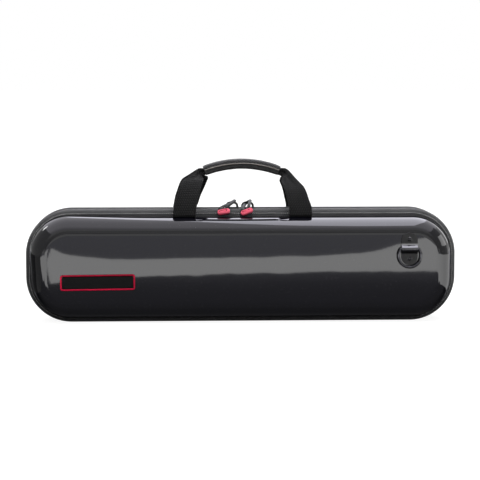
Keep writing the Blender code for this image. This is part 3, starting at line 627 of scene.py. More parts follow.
def round_edges(obj, width, segments=3, angle=30):
    modify(obj, "BEVEL", width=width, segments=segments, limit_method="ANGLE",
           angle_limit=math.radians(angle))
    return obj


def cut(obj, cutters):
    """The object with the cutters taken out of it."""
    for cutter in cutters:
        modify(obj, "BOOLEAN", object=cutter, operation="DIFFERENCE", solver="EXACT")
    obj = as_mesh(obj)
    for cutter in cutters:
        bpy.data.objects.remove(cutter, do_unlink=True)
    return obj


def joined(name, objs):
    """One object of several meshes."""
    objs = [as_mesh(obj) if obj.modifiers else obj for obj in objs]
    bpy.context.view_layer.update()
    for obj in objs:
        obj.data.transform(obj.matrix_world)
        obj.matrix_world = Matrix.Identity(4)
    with bpy.context.temp_override(active_object=objs[0], selected_editable_objects=objs):
        bpy.ops.object.join()
    objs[0].name = name
    return objs[0]


def put(obj, body, *nodes, slot=None):
    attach(obj, body)
    if nodes:
        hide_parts(*nodes)


def carried(name, section, side, look, closed=True, wrap=True, **steps):
    """A section of (inset, depth) points carried round the case on one side."""
    loops = [outline(inset, **steps) for inset, _ in section]
    middle = outline(0, **steps)
    us = way_along(middle)
    vs = way_along([Vector(point) for point in section], wrap)
    grid = [[(loop[i].x, side * depth, loop[i].y) for loop, (_, depth) in zip(loops, section)]
            for i in range(len(middle))]
    if closed:
        return surface(name, grid, look, us, vs, wrap_i=True, wrap_j=wrap)
    start = steps["long_steps"] // 2
    return surface(name, grid[start:-start], look, us[start:], vs, wrap_j=wrap, caps=wrap)


# The shells and bands

RIM_SPREAD = 0.0019
SPREAD_X = (-0.085, -0.205)
SPREAD_Z = (0.040, 0.085)
CREASE_DIP = 0.00030
CREASE_WIDTH = 0.0016
FLAT_CROWN = 0.00022
SHOULDER_STEPS = 22
FLAT_STEPS = 14
CORD_INSET, CORD_DEPTH = 0.0083, BAND_RIM_DEPTH - 0.0002
CORD_SIZE = (0.0007, 0.00062)


def shell_profile():
    """(inset, depth) points of the outer face: the shoulder, the soft crease and the crowned flat."""
    turn = math.radians(SHOULDER_TURN)
    rise = (HALF_DEPTH - BAND_RIM_DEPTH) / math.sin(turn)
    reach = SHOULDER_WIDTH / (1 - math.cos(turn))
    points = []
    for step in range(SHOULDER_STEPS + 1):
        share = step / SHOULDER_STEPS
        depth = BAND_RIM_DEPTH + rise * math.sin(turn * share) - CREASE_DIP * share ** 6
        points.append((BAND_ROLL_HEIGHT + reach * (1 - math.cos(turn * share)), depth))
    edge = BAND_ROLL_HEIGHT + SHOULDER_WIDTH
    for share in (0.3, 0.6, 0.8, 1.0):
        fall = 0.5 + 0.5 * math.cos(math.pi * share)
        points.append((edge + CREASE_WIDTH * share, HALF_DEPTH - CREASE_DIP * fall))
    start = edge + CREASE_WIDTH
    for step in range(1, FLAT_STEPS + 1):
        share = step / FLAT_STEPS
        inset = start + (CASE_HEIGHT / 2 - start) * share
        points.append((inset, HALF_DEPTH + FLAT_CROWN * (1 - (1 - share) ** 2)))
    return points


def spread_rim(shell):
    """Moves the rim out at the upper left, less and less down the shoulder."""
    for vert in shell.data.vertices:
        share = eased(vert.co.x, *SPREAD_X) * eased(vert.co.z, *SPREAD_Z)
        core = Vector((max(vert.co.x, CORNER_RADIUS - CASE_LENGTH / 2), CASE_HEIGHT - CORNER_RADIUS))
        away = Vector((vert.co.x, vert.co.z)) - core
        inset = CORNER_RADIUS - away.length
        fall = 1 - min(max((inset - BAND_ROLL_HEIGHT) / SHOULDER_WIDTH, 0), 1)
        if share and away.length:
            shift = away.normalized() * RIM_SPREAD * share * fall
            vert.co.x += shift.x
            vert.co.z += shift.y


def make_shell(side, looks):
    """The shell with its rim turned in, and the thin cord along that rim."""
    half = HALF_NAME[side]
    outer = shell_profile()
    rim_inner = (BAND_ROLL_HEIGHT + SHELL_WALL, BAND_RIM_DEPTH + CLEARANCE)
    inner = []
    for inset, depth in outer[::-1][1::2]:
        shift = SHELL_WALL if depth < HALF_DEPTH - SHELL_WALL else 0
        inner.append((max(inset, BAND_ROLL_HEIGHT) + shift, depth - SHELL_WALL))
    inner = [point for point in inner if point[1] > rim_inner[1] + SHELL_WALL]
    lip = (BAND_ROLL_HEIGHT + SHELL_WALL / 2, BAND_RIM_DEPTH - CLEARANCE / 2)
    section = outer[::-1] + [lip, rim_inner] + inner[::-1]
    shell = carried(f"{half}_shell_gloss", section, side, looks["shell"], wrap=False, corner_steps=32)
    if side == FRONT:
        spread_rim(shell)
    put(shell, BODY[side], f"{half}_shell", slot="shell_gloss")
    bead = []
    for step in range(8):
        angle = math.pi * step / 4
        bead.append((CORD_INSET + CORD_SIZE[0] * math.sin(angle),
                     CORD_DEPTH + CORD_SIZE[1] * math.cos(angle)))
    put(carried(f"{half}_rim_cord", bead, side, looks["coil"]), BODY[side], slot="band_nylon")


SEAM_TURN = 68.0
SEAM_HEIGHT = 0.00028
GROOVE_TURN = 54.0
GROOVE_DEPTH = 0.00025
ROLL_STEPS = 30
STITCH_START = 108
STITCH_SHAPE = ((0, 0.35), (0.18, 0.9), (0.5, 1.0), (0.82, 0.9), (1, 0.35))

# Rows of stitches: their pitch, a stitch's length and the thread's radius
SEAM_STITCH = (0.0021, 0.0015, 0.00034)
EDGE_STITCH = (0.0032, 0.0023, 0.00022)
TAPE_STITCH = (0.0024, 0.0017, 0.00018)


def roll_point(turn, lift=0.0):
    """(inset, depth) on the band's roll where it has turned by some degrees from its flat."""
    angle = math.radians(turn)
    start = BAND_RIM_DEPTH - BAND_ROLL_DEPTH
    out = Vector((-math.cos(angle) * BAND_ROLL_DEPTH, math.sin(angle) * BAND_ROLL_HEIGHT))
    out = out.normalized() * lift
    return (BAND_ROLL_HEIGHT * (1 - math.cos(angle)) + out.x,
            start + (BAND_RIM_DEPTH - CLEARANCE - start) * math.sin(angle) + out.y)


def make_band(side, looks):
    """The padded band, with a ridge along the seam on its roll and a fold beside the zip."""
    half = HALF_NAME[side]
    start = BAND_RIM_DEPTH - BAND_ROLL_DEPTH
    section = [(0.0012, BAND_START), (0.0004, BAND_START + 0.0002), (0.0, BAND_START + 0.0010)]
    section += [(0.0, start - 0.0012), (0.0, start)]
    for step in range(1, ROLL_STEPS + 1):
        turn = 90 * step / ROLL_STEPS
        ridge = SEAM_HEIGHT * math.exp(-((turn - SEAM_TURN) / 5) ** 2)
        groove = GROOVE_DEPTH * math.exp(-((turn - GROOVE_TURN) / 3.5) ** 2)
        section.append(roll_point(turn, ridge - groove))
    section += [(BAND_FOOT, BAND_RIM_DEPTH - CLEARANCE), (BAND_FOOT, start), (BAND_WALL, BAND_START)]
    band = carried(f"{half}_band_padded", section, side, looks["band"], corner_steps=28, long_steps=60)
    put(band, BODY[side], f"{half}_band", slot="band_nylon")
    # The row of stitches on the seam's ridge, their paleness a painted highlight
    inset, depth = roll_point(SEAM_TURN, SEAM_HEIGHT + 0.00005)
    stitch_row(f"{half}_band_seam_stitches", inset, depth, SEAM_STITCH, looks["band_seam"], side,
               "band_nylon")
    stitch_row(f"{half}_band_edge_stitches", -0.00005, BAND_START + 0.0014, EDGE_STITCH, looks["thread"],
               side, "band_nylon")


def stitch_row(name, inset, depth, sizes, look, side, slot_name):
    """A row of stitches round the case, each a short rounded thread lying on the cloth."""
    pitch, length, radius = sizes
    whole, at = fine_path(inset, side * depth, STITCH_START)
    threads = []
    place = pitch / 2
    while place + length < whole:
        thread = []
        for share, width in STITCH_SHAPE:
            point, way, out = at(place + length * share)
            thread.append((point, out, way.cross(out), radius * width))
        threads.append(thread)
        place += pitch
    put(sewn(name, threads, look), BODY[side], slot=slot_name)


# The zip

COIL_START = 100
COIL_PITCH, COIL_WIRE, COIL_TURN_STEPS = 0.0016, 0.00034, 8
COIL_CENTRE, COIL_REACH, COIL_HEIGHT = 0.00160, 0.00125, 0.00060
TAPE_START = 0.0021
TAPE_CORNER = 0.0002
ARCH_SPAN = 0.0056
ARCH_WIRE = 0.00112
ARCH_STEPS = 40

# Outline of a slider's plates: shares of half its length, and y
SLIDER_OUTLINE = ((-1, -0.0026), (-1, 0.0024), (-0.75, 0.0036), (0.55, 0.0036), (0.85, 0.0030), (1, 0.0014),
                  (1, -0.0018), (0.85, -0.0036), (0.5, -0.0041), (-0.7, -0.0041))
SLIDER_PLATES = {"top": (-0.00005, 0.00095), "base": (-0.00355, -0.00255)}

# The slider's other parts: share of its length, and the limits in y and z
SLIDER_BLOCKS = {
    "lip_top": (0.82, (-0.0041, -0.0032), (-0.0006, 0.0003)),
    "lip_base": (0.82, (-0.0041, -0.0032), (-0.0029, -0.0020)),
    "post": (0.3, (-0.0006, 0.0006), (-0.0028, 0.0002)),
}


def make_zip(side, looks):
    """The tape and the row of coil, whose loops reach between those of the other row."""
    half = HALF_NAME[side]
    low, high = COIL_INSET - STRIP_WALL, COIL_INSET + STRIP_WALL
    edge = TAPE_HALF_WIDTH - TAPE_CORNER
    section = [(low, TAPE_START), (low, edge), (COIL_INSET, TAPE_HALF_WIDTH), (high, edge),
               (high, TAPE_START)]
    tape = carried(f"{half}_tape_woven", section, side, looks["tape"], closed=False, corner_steps=28,
                   long_steps=48)
    put(tape, BODY[side], f"{half}_zip_tape", slot="zip_tape")
    whole, at = fine_path(COIL_INSET, 0, COIL_START)
    phase = COIL_PITCH / 2 if side == REAR else 0
    points = []
    for step in range(int((whole - COIL_PITCH) / COIL_PITCH) * COIL_TURN_STEPS):
        base, _, out = at(phase + COIL_PITCH * step / COIL_TURN_STEPS)
        angle = 2 * math.pi * step / COIL_TURN_STEPS
        offset = Vector((0, side * (COIL_CENTRE - COIL_REACH * math.cos(angle)), 0))
        points.append(base + offset + out * COIL_HEIGHT * math.sin(angle))
    put(wire(f"{half}_zip_coil", points, COIL_WIRE, looks["coil"], sides=0), BODY[side], slot="zip_tape")
    stitch_row(f"{half}_tape_stitches", low - 0.0001, 0.0034, TAPE_STITCH, looks["thread"], side, "zip_tape")


def slider_arch(hand, looks):
    """The arch that the pull hangs on, a squared wire that widens at its feet."""
    x, z = SLIDER_X[hand], CASE_HEIGHT
    foot = SLIDER_TOP - 0.0004
    path = []
    for step in range(ARCH_STEPS + 1):
        across, up = squared(math.pi * (1 - step / ARCH_STEPS), 3)
        path.append(Vector((ARCH_SPAN * across, foot + (ARCH_CROWN - foot) * up)))
    grid = []
    for i, (point, way) in enumerate(zip(path, directions(path))):
        out = Vector((-way.y, way.x))
        flare = 1 + 0.5 * abs(2 * i / ARCH_STEPS - 1) ** 8
        ring = []
        for corner in range(12):
            c, s = squared(math.pi * corner / 6, 4)
            spot = point + out * (ARCH_WIRE * s)
            ring.append((x + spot.x, ARCH_WIRE * c * flare, z + spot.y))
        grid.append(ring)
    return solid(f"{hand}_slider_arch", grid, looks["metal"])


def make_slider(hand, looks):
    """A die-cast slider: two shaped plates on a post, lips round the front coil, and an arch."""
    x, z = SLIDER_X[hand], CASE_HEIGHT
    half = SLIDER_LENGTH / 2 * (-1 if hand == "left" else 1)
    pieces = []
    for name, heights in SLIDER_PLATES.items():
        rings = [[(x + half * share, y, z + height) for share, y in SLIDER_OUTLINE] for height in heights]
        pieces.append(round_edges(solid(f"{hand}_slider_{name}", rings, looks["metal"]), 0.00035))
    for name, (share, (low_y, high_y), (low_z, high_z)) in SLIDER_BLOCKS.items():
        centre = (x, (low_y + high_y) / 2, z + (low_z + high_z) / 2)
        size = (SLIDER_LENGTH * share, high_y - low_y, high_z - low_z)
        pieces.append(round_edges(box(f"{hand}_slider_{name}", centre, size, looks["metal"]), 0.00025))
    pieces.append(slider_arch(hand, looks))
    put(joined(f"{hand}_slider_cast", pieces), f"slider_{hand}", f"zip_slider_{hand}", slot="hardware_black")


STRIP_SIZE = (0.00165, 0.00092)
WEB_SHAPE = ((-0.0036, -0.0004), (-0.0034, 0.0008), (-0.0026, 0.0017), (0.0026, 0.0017), (0.0034, 0.0008),
             (0.0036, -0.0004))
WEB_LAYERS = ((-0.00035, 0), (-0.00020, 0.0001), (0.00020, 0.0001), (0.00035, 0))
SLEEVE_LAYERS = ((-0.5, 0.0011), (-0.44, 0.0004), (-0.28, 0.00008), (0, 0), (0.28, 0.00008), (0.42, 0.0004),
                 (0.5, 0.0010))
SLEEVE_CORNER = 0.0025
SLEEVE_HOLE = 0.00062
SLEEVE_WAVE = 0.00006


def sleeve_matrix(hand):
    """Where the pull's sleeve lies on the band, seen from the pull's pivot."""
    pitch = math.radians(SLEEVE_PITCH)
    turn = math.atan(math.tan(pitch) * BAND_ROLL_DEPTH / BAND_ROLL_HEIGHT)
    roll_y = BAND_RIM_DEPTH - BAND_ROLL_DEPTH + BAND_ROLL_DEPTH * math.sin(turn)
    roll_z = -BAND_ROLL_HEIGHT * (1 - math.cos(turn))
    up = Vector((0, math.cos(pitch), math.sin(pitch)))
    out = Vector((0, -math.sin(pitch), math.cos(pitch)))
    centre = Vector((-SLEEVE_LEAN[hand], -roll_y, roll_z - ARCH_CROWN))
    centre += out * (SLEEVE_SIZE[2] / 2 + CLEARANCE)
    tilt = math.radians(SLEEVE_TILT[hand])
    across = Vector((1, 0, 0))
    x_axis = across * math.cos(tilt) + up * math.sin(tilt)
    y_axis = up * math.cos(tilt) - across * math.sin(tilt)
    return Matrix.Translation(centre) @ Matrix((x_axis, y_axis, out)).transposed().to_4x4()


def pull_strip(hand, place, pivot, looks):
    """The flat strip from the sleeve up over the arch and back."""
    half = SLEEVE_SIZE[1] / 2
    legs = {}
    for side in (-1, 1):
        spread = side * LEG_SPREAD
        low, leave, bend = [place @ Vector((spread, y, 0))
                            for y in (half - SLEEVE_SOCKET + CLEARANCE, half, half + 0.0009)]
        hook = [Vector((side * PULL_NECK, HOOK_RADIUS * back, side * HOOK_RADIUS * up))
                for back, up in ((-0.95, 0.72), (0, 1), (0.80, 0.62))]
        middle = bend.lerp(hook[0], 1 / 3) + Vector((0, 0, 0.00075))
        legs[side] = [low, leave, bend, middle, *hook]
    path = smooth_path(legs[-1] + [Vector((0, HOOK_RADIUS, 0))] + legs[1][::-1], 8)
    flat_way = (place.to_3x3() @ Vector((0, 0, 1))).normalized()
    grid = []
    for point, way in zip(path, directions(path)):
        radial = Vector((0, point.y, point.z))
        near = max(0, 1 - max(0, radial.length - 0.0026) / 0.0022)
        thin = flat_way * (1 - near) + radial.normalized() * near
        thin = (thin - way * thin.dot(way)).normalized()
        wide = way.cross(thin)
        ring = []
        for step in range(12):
            c, s = squared(math.pi * step / 6, 3)
            ring.append(pivot + point + wide * (STRIP_SIZE[0] * c) + thin * (STRIP_SIZE[1] * s))
        grid.append(ring)
    return solid(f"{hand}_pull_strip", grid, looks["pull"])


def make_pull(hand, looks):
    """The strip with the web between its legs, and the rubber sleeve with two small holes."""
    pivot = Vector((SLIDER_X[hand], 0, CASE_HEIGHT + ARCH_CROWN))
    place = sleeve_matrix(hand)
    length, height, wall = SLEEVE_SIZE
    strip = pull_strip(hand, place, pivot, looks)
    grid = [[pivot + place @ Vector((x * (1 + grow / 0.003), height / 2 + y, lift)) for x, y in WEB_SHAPE]
            for lift, grow in WEB_LAYERS]
    # The web has the screws' look, so its edges carry the same painted highlight.
    web = solid(f"{hand}_pull_web", grid, looks["screw"])
    metal = joined(f"{hand}_pull_metal", [strip, web])
    put(metal, f"pull_{hand}", f"pull_loop_{hand}", slot="hardware_black")

    grid = []
    for lift, inset in SLEEVE_LAYERS:
        ring = []
        for p in rounded(length - 2 * inset, height - 2 * inset, SLEEVE_CORNER, 8):
            wave = SLEEVE_WAVE * math.cos(9 * p.x / length)
            ring.append(pivot + place @ Vector((p.x, p.y, wall * lift + wave)))
        grid.append(ring)
    sleeve = solid(f"{hand}_pull_rubber", grid, looks["rubber"])
    cutters = []
    for offset in (-0.26, 0.26):
        bm = bmesh.new()
        bmesh.ops.create_cone(bm, cap_ends=True, segments=14, radius1=SLEEVE_HOLE, radius2=SLEEVE_HOLE,
                              depth=0.002)
        cutter = finish_mesh(f"{hand}_hole", bm, looks["rubber"])
        spot = Matrix.Translation(Vector((offset * length - 0.0008, 0.0008, wall / 2)))
        cutter.matrix_world = Matrix.Translation(pivot) @ place @ spot
        cutters.append(cutter)
    put(cut(sleeve, cutters), f"pull_{hand}", f"pull_sleeve_{hand}", slot="pull_rubber")


# Folded tabs over the lower ends of the zip: the half each is sewn to, and its (y, z) section
ZIP_TABS = {
    "tab": (REAR, ((-0.0030, 0.0005), (-0.0026, 0.0002), (0.0060, 0.0002), (0.0098, 0.0002),
                   (0.0098, 0.0010), (-0.0026, 0.0011), (-0.0030, 0.0008))),
    "cover": (FRONT, ((-0.0034, 0.0008), (-0.0036, 0.0011), (-0.0098, 0.0010), (-0.0098, 0.0002),
                      (-0.0060, 0.0002), (-0.0036, 0.0002), (-0.0034, 0.0005))),
}
TAB_START, TAB_LENGTH, TAB_STEPS, TAB_RISE = 0.1702, 0.0085, 6, 0.00035
TAB_VS = [0, 0.0005, 0.009, 0.013, 0.014, 0.026, 0.027, 0.028]


def make_zip_tabs(looks):
    for kind, (side, section) in ZIP_TABS.items():
        for hand, way in (("left", -1), ("right", 1)):
            grid = []
            for step in range(TAB_STEPS + 1):
                x = way * (TAB_START + TAB_LENGTH * step / TAB_STEPS)
                rise = TAB_RISE * max(step - 3, 0) ** 1.5
                grid.append([(x, y, lift + rise) for y, lift in section])
            us = [0.0014 * i for i in range(TAB_STEPS + 2)]
            tab = solid(f"zip_end_{kind}_{hand}", grid, looks["grip"], us=us, vs=TAB_VS)
            put(tab, BODY[side], slot="band_nylon")


# The handle


def grip_point(x, y, drop):
    """A point of the bent grip: along it, across it and down from its top."""
    angle = x / GRIP_BEND_RADIUS
    radius = GRIP_BEND_RADIUS - drop
    height = GRIP_TOP_Z - GRIP_BEND_RADIUS + radius * math.cos(angle)
    return Vector((HANDLE_X + radius * math.sin(angle), y, height))


FOOT_TAIL = 0.0025
FOOT_WALL = 0.0012
FOOT_LIFT = 0.0014
FOOT_BEND = ((0.0, 0.0), (0.72, 0.14), (0.96, 0.42), (1.0, 1.0))

# Stations up a leg: how far out it is, then x and z of its outer and its inner edge, in shares of the
# way from the grip's end to the foot and from the case's top to the grip's end
STRAP_STATIONS = {
    -1: (
        (0.985, 1.481, 0.093, 0.409, 0.091),
        (0.930, 1.409, 0.304, 0.332, 0.303),
        (0.830, 1.313, 0.472, 0.249, 0.507),
        (0.700, 1.221, 0.628, 0.175, 0.674),
        (0.550, 1.116, 0.752, 0.105, 0.802),
        (0.420, 0.963, 0.834, 0.089, 0.820),
        (0.280, 0.724, 0.926, 0.095, 0.843),
        (0.120, 0.475, 1.032, 0.134, 0.866),
        (0.030, 0.288, 1.102, 0.194, 0.885),
    ),
    1: (
        (0.985, 1.511, 0.081, 0.443, 0.083),
        (0.930, 1.387, 0.287, 0.365, 0.288),
        (0.830, 1.289, 0.463, 0.295, 0.465),
        (0.700, 1.185, 0.594, 0.218, 0.599),
        (0.550, 1.034, 0.695, 0.133, 0.713),
        (0.420, 0.825, 0.827, 0.117, 0.761),
        (0.280, 0.625, 0.965, 0.140, 0.804),
        (0.120, 0.464, 1.066, 0.188, 0.844),
        (0.030, 0.327, 1.103, 0.223, 0.874),
    ),
}
REAR_SLACK = (0.105, 0.142, 0.211, 0.255, 0.265, 0.255, 0.250, 0.200, 0.080)

# Inside the grip: the place along it, and how far the webbing's outer edge rises
STRAP_ENTRY = ((GRIP_LENGTH / 2 + 0.0006, 0.0044), (GRIP_LENGTH / 2 - 0.0042, 0.0021),
               (GRIP_LENGTH / 4, 0.0021))
STRAP_INNER_DROP = 0.0021
STRAP_COLUMNS = 14


def strap_edges(side, hand):
    """(outer, inner) edge points along one leg of a webbing, from the seam to the inside of the grip."""
    tail_start = BAND_RIM_DEPTH + CLEARANCE
    tail_end = tail_start + FOOT_TAIL
    foot_x = HANDLE_X + hand * STRAP_SPREAD
    half = Vector((hand * STRAP_WIDTH / 2, 0, 0))
    tail_z = CASE_HEIGHT - SHELL_DROP - BAND_ROLL_HEIGHT - FOOT_WALL / 2 - CLEARANCE / 2 + FOOT_LIFT
    centres = [Vector((foot_x, tail_start, tail_z))]
    for out, up in FOOT_BEND:
        y = tail_end + (STRAP_Y - tail_end) * out
        centres.append(Vector((foot_x, y, tail_z + BAND_ROLL_HEIGHT / 2 * up)))
    edges = [(centre + half, centre - half) for centre in centres]
    drop = GRIP_FLAP + CLEARANCE + (GRIP_HEIGHT - GRIP_FLAP - CLEARANCE) / 2
    entry = grip_point(hand * GRIP_LENGTH / 2, GRIP_STRAP_Y, drop)
    slack = REAR_SLACK if (side, hand) == (REAR, -1) else [0] * len(REAR_SLACK)
    for (out, outer_x, outer_z, inner_x, inner_z), loose in zip(STRAP_STATIONS[hand], slack):
        y = GRIP_STRAP_Y + (STRAP_Y - GRIP_STRAP_Y) * out
        edges.append(tuple(
            Vector((entry.x + (foot_x - entry.x) * along, y, CASE_HEIGHT + (entry.z - CASE_HEIGHT) * up))
            for along, up in ((outer_x, outer_z), (inner_x - loose, inner_z))))
    for place, rise in STRAP_ENTRY:
        edges.append(tuple(grip_point(hand * place, GRIP_STRAP_Y, drop + turn)
                           for turn in (-rise, STRAP_INNER_DROP)))
    return edges


def strap_leg(side, hand, looks):
    """One leg of webbing, its edges curling a little, and more where it is gathered."""
    outer, inner = [smooth_path(list(edge), 7) for edge in zip(*strap_edges(side, hand))]
    middle = [(a + b) / 2 for a, b in zip(outer, inner)]
    grid = []
    for start, end, way in zip(outer, inner, directions(middle)):
        across = end - start
        out = across.cross(way).normalized()
        out *= -1 if out.y > 0 else 1
        gather = 1 - min(1, across.length / STRAP_WIDTH)
        row = []
        for j in range(STRAP_COLUMNS + 1):
            share = 2 * j / STRAP_COLUMNS - 1
            curl = (0.0003 + 0.0026 * gather * (1 - gather)) * (0.35 - share * share)
            fold = 0.0016 * gather * (1 - gather) * math.cos(math.pi * 2.2 * share + 0.6)
            point = start.lerp(end, j / STRAP_COLUMNS) + out * (curl + fold)
            row.append(Vector((point.x, side * point.y, point.z)))
        grid.append(row)
    us = way_along(middle, closed=False)
    name = f"{HALF_NAME[side]}_webbing_{'left' if hand < 0 else 'right'}"
    leg = surface(name, grid, looks["webbing"], us, evenly(STRAP_WIDTH, STRAP_COLUMNS))
    modify(leg, "SOLIDIFY", thickness=STRAP_WALL, offset=0, use_even_offset=True)
    return round_edges(leg, 0.0003, segments=2)


def make_strap(side, looks):
    """Webbing from the seam of the band up into the grip on both hands."""
    half = HALF_NAME[side]
    legs = [strap_leg(side, hand, looks) for hand in (-1, 1)]
    put(joined(f"{half}_handle_webbing", legs), BODY[side], f"{half}_handle_strap", slot="webbing")


GRIP_STATIONS = 36
GRIP_FUZZ = 0.00012
GRIP_TUCK = 0.0004
TOP_RADIUS = 0.0032
WRAP_RADIUS = 0.0026
UNDER_RADIUS = 0.0028
PIPING_RADIUS = 0.00055
GRIP_STITCHES = 30
GRIP_THREAD = 0.00017
GRIP_STITCH_SHAPE = ((0, 0.4), (0.25, 1), (0.75, 1), (1, 0.4))


def grip_piece(name, section, look):
    """A section of (y, drop) points swept along the bent grip, drawn in a little at its ends."""
    grid = []
    middle = GRIP_HEIGHT / 2
    for step in range(GRIP_STATIONS + 1):
        share = 2 * step / GRIP_STATIONS - 1
        tuck = GRIP_TUCK * abs(share) ** 14
        row = []
        for y, drop in section:
            shrunk = middle + (drop - middle) * (1 - tuck / middle)
            point = grip_point(GRIP_LENGTH / 2 * share, y * (1 - tuck / (GRIP_DEPTH / 2)), shrunk)
            puff = noise.noise(point * 170) * GRIP_FUZZ
            row.append(point + Vector((0, math.copysign(puff, y), puff)))
        grid.append(row)
    vs = way_along([Vector(point) for point in section])
    return solid(name, grid, look, us=evenly(GRIP_LENGTH, GRIP_STATIONS), vs=vs)


def make_grip(looks):
    """The wrap over the top, whose flap has a lip over the front, and the part below it."""
    half, low, flap = GRIP_DEPTH / 2, GRIP_HEIGHT, GRIP_FLAP
    top = []
    for y, turn in ((half - TOP_RADIUS, 0), (-half + TOP_RADIUS, 90)):
        top += arc((y, TOP_RADIUS), TOP_RADIUS, turn, turn + 90, 6)
    lip = [(-half - 0.0002, flap + 0.0006), (-half - 0.0002, flap + 0.0012), (-half + 0.0001, flap + 0.0013),
           (-half + 0.0002, flap)]
    section = [(half, low / 2)] + top + lip + [(-0.0002, flap), (0, low - 0.0002)]
    section += arc((half - WRAP_RADIUS, low - WRAP_RADIUS), WRAP_RADIUS, -90, -10, 5)
    wrap = grip_piece("grip_wrap", section, looks["grip"])
    put(wrap, "rear_case", "rear_grip", slot="grip_fabric")
    section = [(-half + 0.0003, flap + 0.0006), (-half + 0.0008, flap + 0.0002),
               (-CLEARANCE, flap + CLEARANCE), (-CLEARANCE, low - 0.0001)]
    section += arc((-half + UNDER_RADIUS, low - UNDER_RADIUS), UNDER_RADIUS, -90, -170, 5)
    under = grip_piece("grip_under", section, looks["grip_lining"])
    put(under, "front_case", "front_grip", slot="grip_fabric")


def make_grip_trim(looks):
    """The piping along the flap's edge, pale as a painted highlight, and the stitches above it."""
    front, flap = -GRIP_DEPTH / 2, GRIP_FLAP
    edge = [grip_point(GRIP_LENGTH / 2 * (step / 20 - 1) * 0.985, front - 0.0004, flap + 0.0011)
            for step in range(41)]
    piping = wire("grip_flap_piping", edge, PIPING_RADIUS, looks["binding"], sides=3)
    put(piping, "rear_case", slot="grip_fabric")
    threads = []
    for i in range(1, GRIP_STITCHES - 1):
        x = GRIP_LENGTH * (i + 0.5) / GRIP_STITCHES - GRIP_LENGTH / 2
        start, end = [grip_point(x + shift, front - 0.00005, flap - 0.0002) for shift in (-0.0008, 0.0008)]
        threads.append([(start.lerp(end, share), Vector((0, 1, 0)), Vector((0, 0, 1)), GRIP_THREAD * width)
                        for share, width in GRIP_STITCH_SHAPE])
    stitches = sewn("grip_flap_stitches_upper", threads, looks["thread"], caps=False)
    put(stitches, "rear_case", slot="grip_fabric")


# Rings, screws and badge

PLATE_SIZE = (0.0167, 0.0334)
COVER_TURN = 40.0
COVER_LENGTH = 0.0170
COVER_WALL = 0.0008

# Shares of half the cover's length, and how far its outer face shrinks there
COVER_STATIONS = ((-1, 0.00030), (-0.985, 0.0001), (-0.94, 0), (0, 0), (0.94, 0), (0.985, 0.0001),
                  (1, 0.00030))
RING_CORNERS = ((0.77, 0.0), (0.85, 0.05), (0.955, 0.28), (1.0, 0.44))
ARCH_TURNS = 36
SCREW_SHAPE = ((0.0, 0.0012), (0.0, 0.00225), (0.0003, 0.00235), (0.00062, 0.0021), (0.00085, 0.0015),
               (0.00095, 0.0007))
SCREW_LIFT = 0.00015
SCREW_SLOT = (0.0052, 0.0011, 0.0008)


def make_bracket(side, x, looks):
    """The plate with the pressed cover over the ring's bar."""
    half = HALF_NAME[side]
    shape = rounded(*PLATE_SIZE, PLATE_SIZE[0] / 2, 14)
    rings = [[(x + p[0], y, RING_BAR_Z + p[1]) for p in shape]
             for y in (side * (HALF_DEPTH + CLEARANCE), side * BRACKET_FACE)]
    plate = round_edges(solid(f"{half}_bracket_plate", rings, looks["plate"]), 0.0003, angle=50)
    turn = math.radians(COVER_TURN)
    inner = RING_WIRE / 2 + CLEARANCE
    foot, lip = side * BRACKET_FACE, side * (BRACKET_FACE + 0.0005)
    grid = []
    for share, shrink in COVER_STATIONS:
        row = []
        for radius, outside in ((inner + COVER_WALL - shrink, True), (inner, False)):
            points = []
            for step in range(25):
                angle = turn + (math.pi - 2 * turn) * step / 24
                points.append((side * (RING_Y + radius * math.sin(angle)),
                               RING_BAR_Z + radius * math.cos(angle)))
            rise = radius * math.cos(turn) + (abs(points[0][0]) - BRACKET_FACE) * math.tan(turn)
            up, low = RING_BAR_Z + rise, RING_BAR_Z - rise
            if outside:
                row += [(foot, up + 0.0007), (lip, up + 0.0007), (lip, up - 0.0006), *points,
                        (foot, low - 0.0002)]
            else:
                row += [(foot, low), *points[::-1], (foot, up)]
        grid.append([(x + COVER_LENGTH / 2 * share, y, z) for y, z in row])
    cover = solid(f"{half}_bracket_cover", grid, looks["cover"])
    mount = joined(f"{half}_ring_mount", [plate, cover])
    put(mount, BODY[side], f"{half}_ring_bracket", slot="hardware_black")


def make_ring(side, x, looks):
    """The D ring, a bent wire with a cut where its ends meet."""
    half = HALF_NAME[side]
    radius = RING_WIDTH / 2 - RING_WIRE / 2
    bow = RING_DROP - RING_WIRE - radius
    turns = [math.pi * i / ARCH_TURNS for i in range(ARCH_TURNS + 1)]
    arch = [Vector((radius * math.cos(turn), 0, -bow - radius * math.sin(turn))) for turn in turns]
    knots = [Vector((radius * across, 0, -radius * down)) for across, down in RING_CORNERS]
    right = smooth_path([Vector((0, 0, 0))] + knots + [arch[0]], 5)[:-1]
    loop = right + arch + [Vector((-p.x, 0, p.z)) for p in right[::-1]][:-1]
    split = next(i for i, p in enumerate(loop) if p.z < -bow - 0.15 * radius)
    path = [Vector((x, side * RING_Y, RING_BAR_Z)) + p for p in loop[split:] + loop[:split]]
    start, end = path[0].lerp(path[1], 0.25), path[-1].lerp(path[0], 0.75)
    ring = wire(f"{half}_d_ring", [start] + path[1:] + [end], RING_WIRE / 2, looks["ring"], sides=5)
    put(ring, f"ring_{half}", f"{half}_strap_ring", slot="hardware_black")


